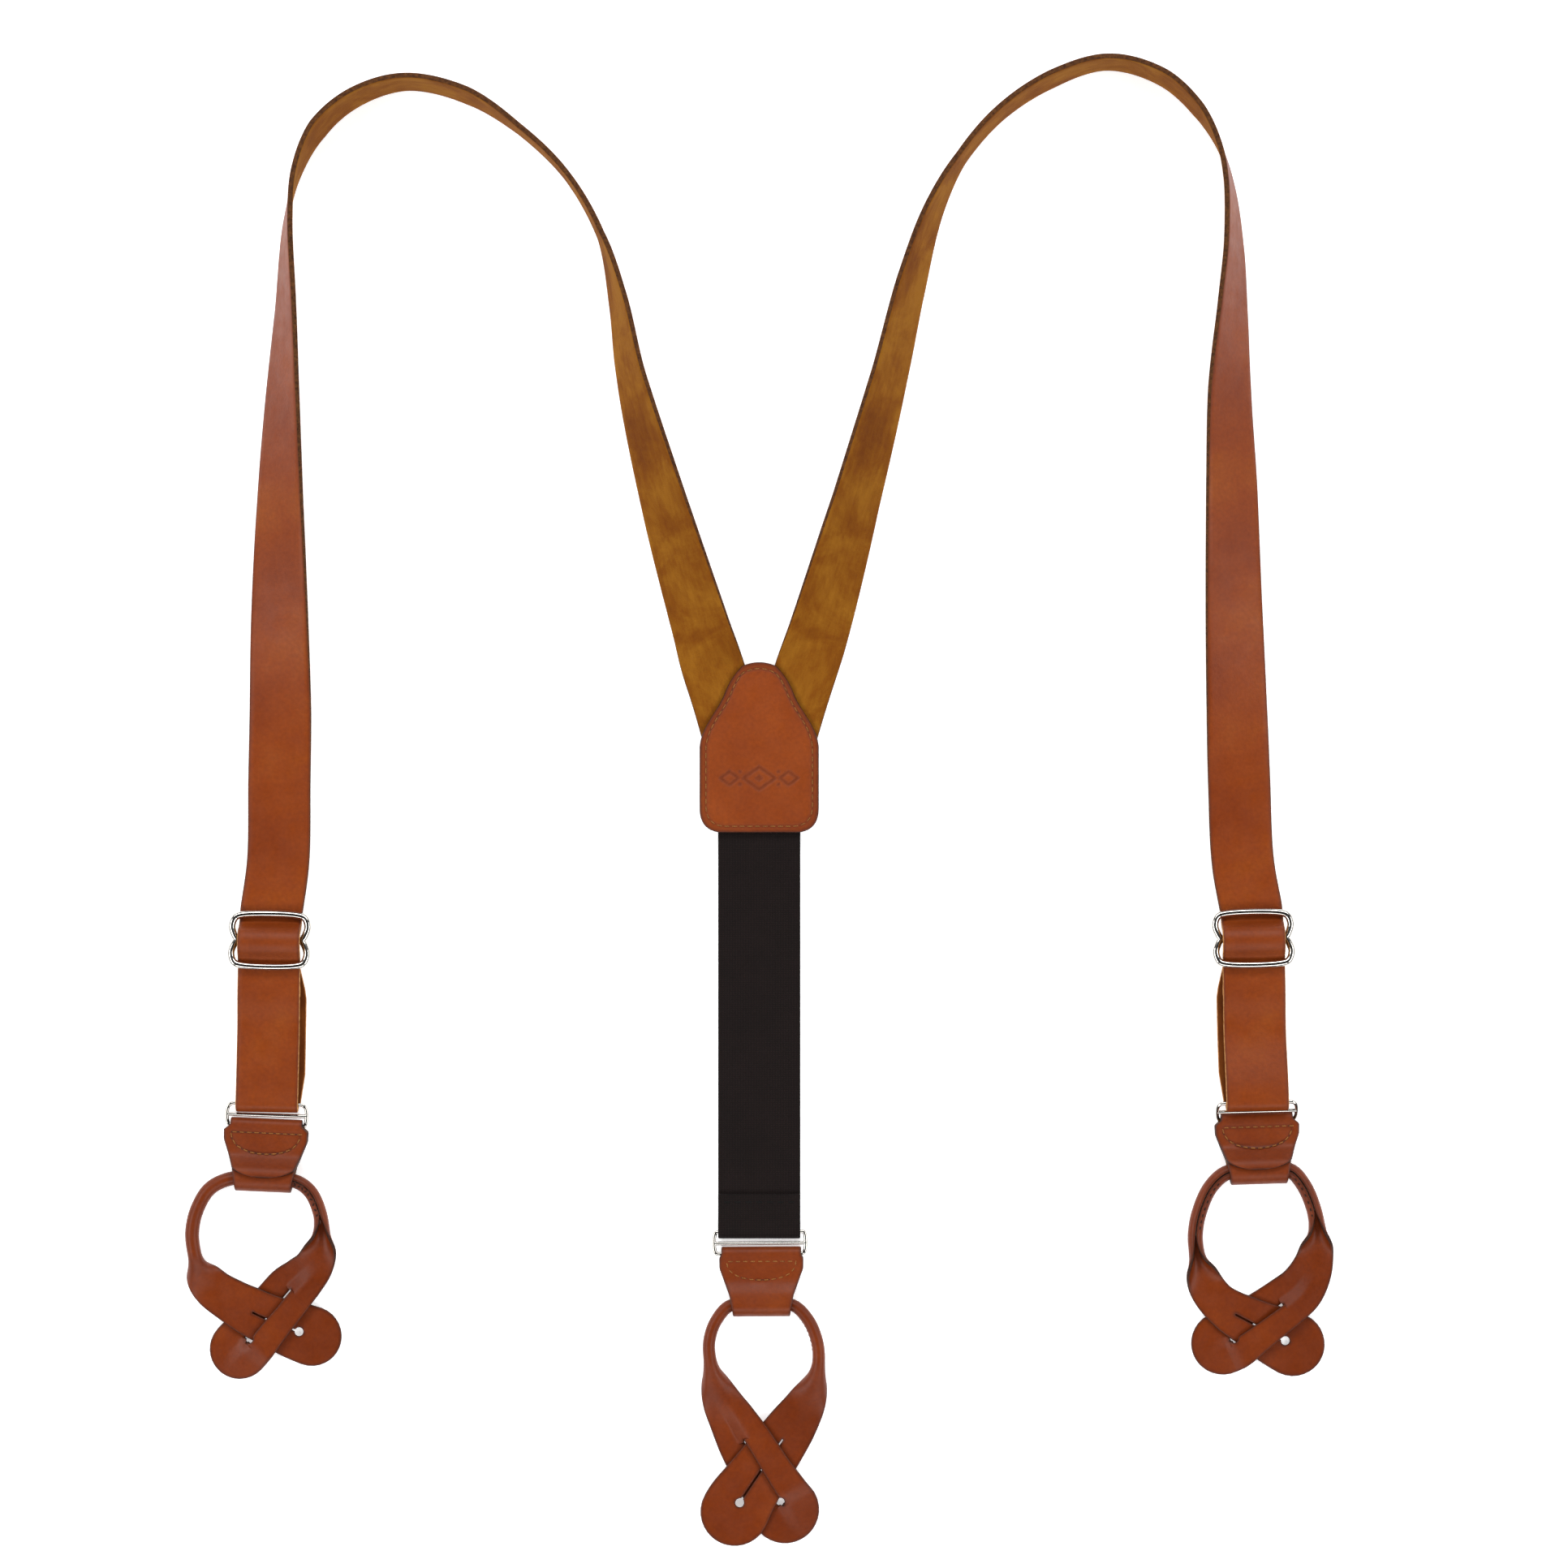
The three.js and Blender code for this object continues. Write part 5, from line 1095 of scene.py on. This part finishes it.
# x, y, layer, width, curl, lift, from the middle of the rolled stretch. Layer counts leather layers
# up from the table. Curl is 0 flat and 1 rolled. Lift is 1 where the slit's halves stand apart.
LOOPS = {
    "left": {
        "tube": 2.85, "depth": 21.9, "rolls": (0, 180), "raise": -1, "slits": [(2.9, 0.65), (20, 23)],
        "rows": [
            (22, -63, 0, 24.4, 0, 0), (14, -60.5, 0.3, 23.3, 0, 0), (5.5, -57.5, 1, 21, 0, 0),
            (-3, -54, 1, 20, 0, 0), (-11, -50, 1, 18, 0, 0), (-18.5, -45.5, 1, 16.5, 0, 0),
            (-24, -39.5, 1.25, 15, 0.35, 0), (-26.5, -32, 1, 0, 1, 0), (-28, -23, 1, 0, 1, 0),
            (-26.5, -13.5, 1, 0, 1, 0), (-21.5, -4.5, 1, 0, 1, 0), (-12.5, 0, 1, 0, 1, 0),
            (0, 0, 1, 0, 1, 0), (12.5, 0, 1, 0, 1, 0), (19, -4, 1, 0, 1, 0), (23.5, -13, 1, 0, 1, 0),
            (24.5, -21, 1, 13, 0.7, 0), (24, -28, 1, 14.3, 0.2, 0), (21.5, -34.5, 1, 16.2, 0, 0.25),
            (17.5, -39.5, 1, 18.5, 0, 0.8), (12.7, -44.5, 1, 20.8, 0, 1), (7.5, -51.3, 1, 21.5, 0, 1),
            (2.2, -58, 1, 22.5, 0, 1), (-3.2, -65, 1, 24, 0, 1), (-7, -69.5, 0.5, 24.4, 0, 0.5),
        ],
    },
    "right": {
        "tube": 3.1, "depth": 21.1, "rolls": (180, 180), "raise": -1, "slits": [(2.8, 0.35), (20, 23)],
        "rows": [
            (12, -71, 0, 26, 0, 0), (3.5, -66.5, 0.3, 24, 0, 0), (-4.5, -61.7, 1, 20.5, 0, 0),
            (-12.5, -57, 1, 18, 0, 0), (-18, -52.5, 1, 16, 0, 0), (-22, -47, 1, 15, 0, 0),
            (-24.5, -40.5, 1, 14, 0.3, 0), (-26, -33.5, 1, 13.4, 0.8, 0), (-26.5, -25, 1, 0, 1, 0),
            (-24.5, -15.5, 1, 0, 1, 0), (-19.5, -5.5, 1, 0, 1, 0), (-12.5, 0, 1, 0, 1, 0),
            (0, 0, 1, 0, 1, 0), (12.5, 0, 1, 0, 1, 0), (18, -6, 1, 0, 1, 0), (22, -16.5, 1, 0, 1, 0),
            (23, -25, 1, 13.4, 0.7, 0), (22.5, -33, 1, 14.3, 0.1, 0), (20.3, -41, 1, 17, 0, 0.25),
            (15.5, -48.7, 1, 19.5, 0, 0.8), (8.2, -54.4, 1, 20.6, 0, 1), (1.4, -59, 1, 21.5, 0, 1),
            (-5.5, -63.5, 1, 23, 0, 1), (-12.2, -67.6, 1, 25.2, 0, 1), (-16.5, -69.6, 0.5, 25.6, 0, 0.5),
        ],
    },
    "back": {
        "tube": 2.5, "depth": 20.8, "rolls": (0, 0), "raise": 1, "slits": [(3.1, 0.55), (18.7, 22.2)],
        "rows": [
            (9, -83.3, 0.5, 28, 0, 0.5), (5.6, -77.3, 1, 26, 0, 1), (0.8, -69.3, 1, 24, 0, 1),
            (-6.8, -56.3, 1, 22.4, 0, 1), (-11.8, -47.3, 1, 19.5, 0, 0.8),
            (-16.3, -39.2, 1, 16.5, 0.15, 0.25),
            (-19.3, -31, 1.2, 14, 0.45, 0), (-21, -22.5, 1, 0, 0.9, 0), (-21.3, -14.5, 1, 0, 1, 0),
            (-18.5, -6.3, 1, 0, 1, 0), (-12.5, 0, 1, 0, 1, 0), (0, 0, 1, 0, 1, 0), (12.5, 0, 1, 0, 1, 0),
            (19, -6.3, 1, 0, 1, 0), (22.6, -15.5, 1, 0, 1, 0), (23, -24, 1, 0, 0.9, 0),
            (21.2, -32.8, 1.2, 14, 0.45, 0), (17.4, -41, 1, 16.8, 0.1, 0), (12.3, -49, 1, 20, 0, 0),
            (6.5, -57.4, 1, 22, 0, 0), (1, -65.2, 1, 23.4, 0, 0), (-4.2, -72.7, 1, 25.2, 0, 0),
            (-8.8, -79.6, 1, 27.4, 0, 0), (-11.3, -84, 1, 28, 0, 0),
        ],
    },
}
LOOP_SHARES = (0, 0.012, 0.035, 0.075, 0.14, 0.23, 0.34, 0.46, 0.58, 0.70, 0.80, 0.88, 0.935, 0.972, 0.990, 1)
LOOP_EDGE = 0.42
TIP_STEPS = (12, 24, 35, 46, 56, 65, 73, 79, 84, 87.5)


class LoopStrip:
    """One button loop's leather, read at any place along and across it."""

    def __init__(self, spec):
        self.spec = spec
        self.rows = spec["rows"]
        self.last = len(self.rows) - 1
        self.tube_z = tube_height(spec["tube"])
        self.roll_radius = spec["tube"] - LOOP_THICK / 2
        self.plan = [np.array([x, y, 0.0]) for x, y, *_ in self.rows]
        self.middle = next(i for i, row in enumerate(self.rows) if row[0] == 0)

    def read(self, k, row):
        """Column k of the rows at a fractional row number, smoothly."""
        i = max(0, min(int(math.floor(row)), self.last - 1))

        def value(n):
            entry = self.rows[min(max(n, 0), self.last)]
            return self.roll_radius * CURL_ANGLE if k == 3 and entry[3] == 0 else entry[k]

        a, b, c, d = (value(n) for n in (i - 1, i, i + 1, i + 2))
        t = row - i
        m1, m2 = (0, 0) if b == c else ((c - a) / 2, (d - b) / 2)
        return ((2 * t ** 3 - 3 * t ** 2 + 1) * b + (t ** 3 - 2 * t ** 2 + t) * m1
                + (3 * t ** 2 - 2 * t ** 3) * c + (t ** 3 - t ** 2) * m2)

    def centre(self, row):
        """The plan curve, straightened inside the holder, where the loop turns."""
        point = plan_point(self.plan, row)
        if abs(row - self.middle) < 1:
            point[1] *= ease(abs(point[0]), 8, 12.5)
        return point

    def section(self, row, slit_half=SLIT_HALF):
        curl = min(max(self.read(4, row), 0), 1)
        flat_z = LOOP_THICK / 2 + self.read(2, row) * LOOP_LAYER
        point = self.centre(row)
        ahead = self.centre(row + 0.01) - self.centre(row - 0.01)
        point[2] = flat_z + (self.tube_z - flat_z) * curl
        turn = float(ease(row, self.middle - 1, self.middle + 1))
        first, second = self.spec["rolls"]
        return {"along": ahead / np.linalg.norm(ahead), "point": point, "curl": curl,
                "roll": math.radians(first + (second - first) * turn), "tip": None,
                "lift": min(max(self.read(5, row), 0), 1), "width": self.read(3, row),
                "slit": slit_half, "row": row}

    def speed(self, row):
        step = plan_point(self.plan, row + 0.1) - plan_point(self.plan, row - 0.1)
        return np.linalg.norm(step) / 0.2

    def slit_ranges(self):
        """From and to of each slit, out to the far side of its round hole."""
        return [sorted((start, hole + math.copysign(0.97 * HOLE_RADIUS / self.speed(hole), hole - start)))
                for start, hole in self.spec["slits"]]

    def sections(self):
        marks = {}
        for start, hole in self.spec["slits"]:
            away = math.copysign(1, hole - start) / self.speed(hole)
            for share in (-0.97, -0.85, -0.6, -0.3, 0, 0.3, 0.6, 0.85, 0.97):
                marks[hole + away * share * HOLE_RADIUS] = HOLE_RADIUS * math.sqrt(1 - share * share)
            marks[hole + away * 1.12 * HOLE_RADIUS] = SLIT_HALF
            nudge = math.copysign(0.15, start - hole) / self.speed(start)
            marks[start] = SLIT_HALF
            marks[start + nudge] = SLIT_HALF
        plain = [row for row in np.arange(0, self.last + 0.01, 0.16)
                 if all(abs(row - mark) > 0.05 for mark in marks)]
        rows = sorted([(row, SLIT_HALF) for row in plain] + list(marks.items()))
        body = [self.section(row, slit) for row, slit in rows]
        return self.tip(0, -1)[::-1] + body + self.tip(self.last, 1)

    def tip(self, row, sign):
        """Sections beyond a flat end's centre, which round it off and bring it down to its rest."""
        centre = self.section(row)
        radius = centre["width"] / 2
        cut = []
        for degrees in TIP_STEPS:
            share, cosine = math.sin(math.radians(degrees)), math.cos(math.radians(degrees))
            point = centre["point"] + centre["along"] * (sign * radius * share)
            if centre["lift"] > 0:
                point[2] += (LOOP_THICK / 2 - point[2]) * share
            cut.append({**centre, "point": point, "lift": centre["lift"] * (1 - share),
                        "width": 2 * radius * cosine, "row": row + sign * share, "tip": (radius, share)})
        return cut

    def frame_at(self, s):
        level = np.cross(s["along"], (0, 0, 1))
        level /= np.linalg.norm(level)
        up = np.cross(level, s["along"])
        normal = up * math.cos(s["roll"]) + level * math.sin(s["roll"])
        across = level * math.cos(s["roll"]) - up * math.sin(s["roll"])
        return level, normal, across

    def place(self, s, across_mm, ramp):
        """A point of the middle surface, a distance in millimetres from the strip's centre line."""
        level, normal, across = self.frame_at(s)
        q = s["point"] + normal * self.roll_radius * s["curl"]
        if s["curl"] > 0.01:
            radius = s["width"] / (CURL_ANGLE * s["curl"])
            angle = across_mm / radius
            q = q + normal * radius * (math.cos(angle) - 1) + across * radius * math.sin(angle)
        else:
            q = q + across * across_mm
        lateral = across_mm * float(across @ level)
        q[2] += self.spec["raise"] * s["lift"] * LOOP_LAYER * min(max(lateral / ramp, -1), 1)
        return q

    def sheet(self, name, spot):
        sections = self.sections()
        ranges = self.slit_ranges()
        inside = [any(low - 1e-6 <= s["row"] <= high + 1e-6 for low, high in ranges) for s in sections]
        shares = [-v for v in reversed(LOOP_SHARES)] + list(LOOP_SHARES)
        centre = len(LOOP_SHARES) - 1
        mid = np.zeros((len(sections), len(shares), 3))
        depth = np.zeros(mid.shape[:2])
        for i, s in enumerate(sections):
            half = s["width"] / 2
            slit = min(s["slit"], half * 0.3)
            ramp = slit if inside[i] else min(2.5, half * 0.5)
            to_slit = min([0 if inside[i] else min(abs(s["row"] - low), abs(s["row"] - high))
                           for low, high in ranges]) * self.speed(min(max(s["row"], 0.2), self.last - 0.2))
            for j, share in enumerate(shares):
                out = -1 if j <= centre else 1
                place = out * slit + share * (half - slit)
                mid[i, j] = self.place(s, place, ramp)
                edge = half - abs(place)
                if s["tip"]:
                    radius, reach = s["tip"]
                    edge = radius - math.hypot(place, radius * reach)
                depth[i, j] = max(min(edge, math.hypot(to_slit, abs(place) - slit)), 0)
        depth[0], depth[-1], depth[:, 0], depth[:, -1] = 0, 0, 0, 0
        open_cells = np.zeros((mid.shape[0] - 1, mid.shape[1] - 1), bool)
        for i in range(len(sections) - 1):
            between = (sections[i]["row"] + sections[i + 1]["row"]) / 2
            open_cells[i, centre] = any(low < between < high for low, high in ranges)
        return laid_sheet(name, spot(mid), depth, LOOP_THICK, LOOP_EDGE,
                          (LOOP_GRAIN, LOOP_GRAIN, DARK_EDGE), split=centre, open_cells=open_cells, smooth=50)


def tube_spots(strip, spot, start, end, count, lean, turn):
    """Places for stitches on the rolled stretch, leaning from the roll's top, turned across it."""
    spots = []
    for k in range(count):
        s = strip.section(start + (end - start) * (k + 0.5) / count)
        level, _, _ = strip.frame_at(s)
        outward = np.array([0, 0, 1.0]) * math.cos(lean) + level * math.sin(lean)
        place = s["point"] + outward * (strip.spec["tube"] - 0.12)
        cross = np.cross(outward, s["along"])
        sway = turn * (1 if k % 2 else -1)
        direction = s["along"] * math.cos(sway) + cross * math.sin(sway)
        x_axis, y_axis = spot.x, spot.y
        turned = [v[0] * x_axis + v[1] * y_axis + np.array([0, 0, v[2]]) for v in (direction, outward)]
        spots.append((spot(place), *turned))
    return spots


# Runs of seam stitches: first row, last row, how many, lean from the top, and turn across the roll.
SEAMS = {
    "left": [(13.0, 15.6, 11, 0.42, 0.9)],
    "right": [(8.2, 10.4, 8, 0.5, 0.0), (13.4, 15.6, 8, 0.5, 0.0)],
    "back": [(12.6, 14.4, 8, 1.9, 0.0)],
}


def button_loop(side):
    spec = LOOPS[side]
    spot = hinge_spot(f"{side}_loop_swing")
    strip = LoopStrip(spec)
    body = f"{side}_loop_body"
    piece = strip.sheet(f"{side}_loop_leather", spot)
    finish_piece(piece, f"{side}_button_loop", body)
    stitches = [s for run in SEAMS[side] for s in tube_spots(strip, spot, *run)]
    seam = sew(f"{side}_loop_stitches", stitches, 1.7, BROWN_THREAD, radius=0.42)
    finish_piece(seam, f"{side}_loop_thread", body)
    frame["nodes"][f"{side}_loop_core"].data.materials.clear()
    frame["nodes"][f"{side}_loop_core"].data.materials.append(COTTON_CORD)


# ---- stage ------------------------------------------------------------------------------------

CAMERA_HEIGHT = 2.2
VIEW_WIDTH = 0.6376
VIEW_CENTRE = (0.01007, -0.01485)
SENSOR = 36.0


def stage():
    deselect()
    bpy.ops.mesh.primitive_plane_add(size=8, location=(0, 0, -0.0004))
    floor = bpy.context.active_object
    floor.name = "floor"
    paper, tree, shader = new_material("white_paper_sweep")
    place = add(tree, "TexCoord").outputs["Object"]
    tooth = add(tree, "TexNoise", {"Vector": place, "Scale": per_mm(4), "Detail": 3.0})
    tone = add(tree, "ValToRGB", {"Fac": tooth.outputs["Fac"]}, ramp=[(0.2, "#F7F7F7"), (0.8, "#FAFAFA")])
    plug(tree, shader, Base_Color=tone.outputs["Color"], Roughness=0.95, Specular_IOR_Level=0.1,
         Emission_Strength=0.5)
    shader.inputs["Emission Color"].default_value = rgb("#FFFFFF")
    floor.data.materials.append(paper)

    scene = bpy.context.scene
    scene.view_settings.view_transform = "Standard"
    world = bpy.data.worlds.new("studio")
    world.use_nodes = True
    scene.world = world
    sky = world.node_tree
    toward = add(sky, "TexCoord").outputs["Generated"]
    height = add(sky, "SeparateXYZ", {0: toward}).outputs["Z"]
    shade = add(sky, "ValToRGB", {"Fac": height},
                ramp=[(0.0, "#141414"), (0.16, "#262626"), (0.5, "#8A8B8D"), (0.8, "#5A5A5A"),
                      (1.0, "#303030")])
    background = next(n for n in sky.nodes if n.type == "BACKGROUND")
    sky.links.new(shade.outputs["Color"], background.inputs["Color"])
    background.inputs["Strength"].default_value = 1.0

    softboxes = [("north_box", (0, 2.0, 1.7), 46), ("west_box", (-2.0, 0, 1.7), 44),
                 ("east_box", (2.0, 0, 1.7), 39), ("south_box", (0, -2.0, 1.7), 33)]
    for name, place, power in softboxes:
        light = bpy.data.lights.new(name, "AREA")
        light.energy = power
        light.shape = "RECTANGLE"
        light.size = 3.0
        light.size_y = 0.8
        lamp = bpy.data.objects.new(name, light)
        lamp.location = place
        lamp.rotation_mode = "QUATERNION"
        lamp.rotation_quaternion = Vector([-v for v in place]).to_track_quat("-Z", "Y")
        scene.collection.objects.link(lamp)

    lens = bpy.data.cameras.new("camera")
    lens.sensor_width = SENSOR
    lens.lens = SENSOR * CAMERA_HEIGHT / VIEW_WIDTH
    camera = bpy.data.objects.new("camera", lens)
    camera.location = (*VIEW_CENTRE, CAMERA_HEIGHT)
    scene.collection.objects.link(camera)
    scene.camera = camera


# ---- assembly ---------------------------------------------------------------------------------

stage()
yoke()
elastic_band()
ring("back", "back_ring_body", BACK_RING_HALF, RING_CORNER)
for side in ("left", "right"):
    strap(side)
    doubled_run(side)
    slide(side)
    ring(side, f"{side}_ring_body", FRONT_RING_HALF, FRONT_RING_CORNER)
    holder(side, LOOPS[side], FRONT_RING_HALF - HOLDER_FOLD_GAP, (3, 11.5), True)
    button_loop(side)
holder("back", LOOPS["back"], FRONT_RING_HALF - HOLDER_FOLD_GAP + 1.6, (3, 10.5), False)
button_loop("back")
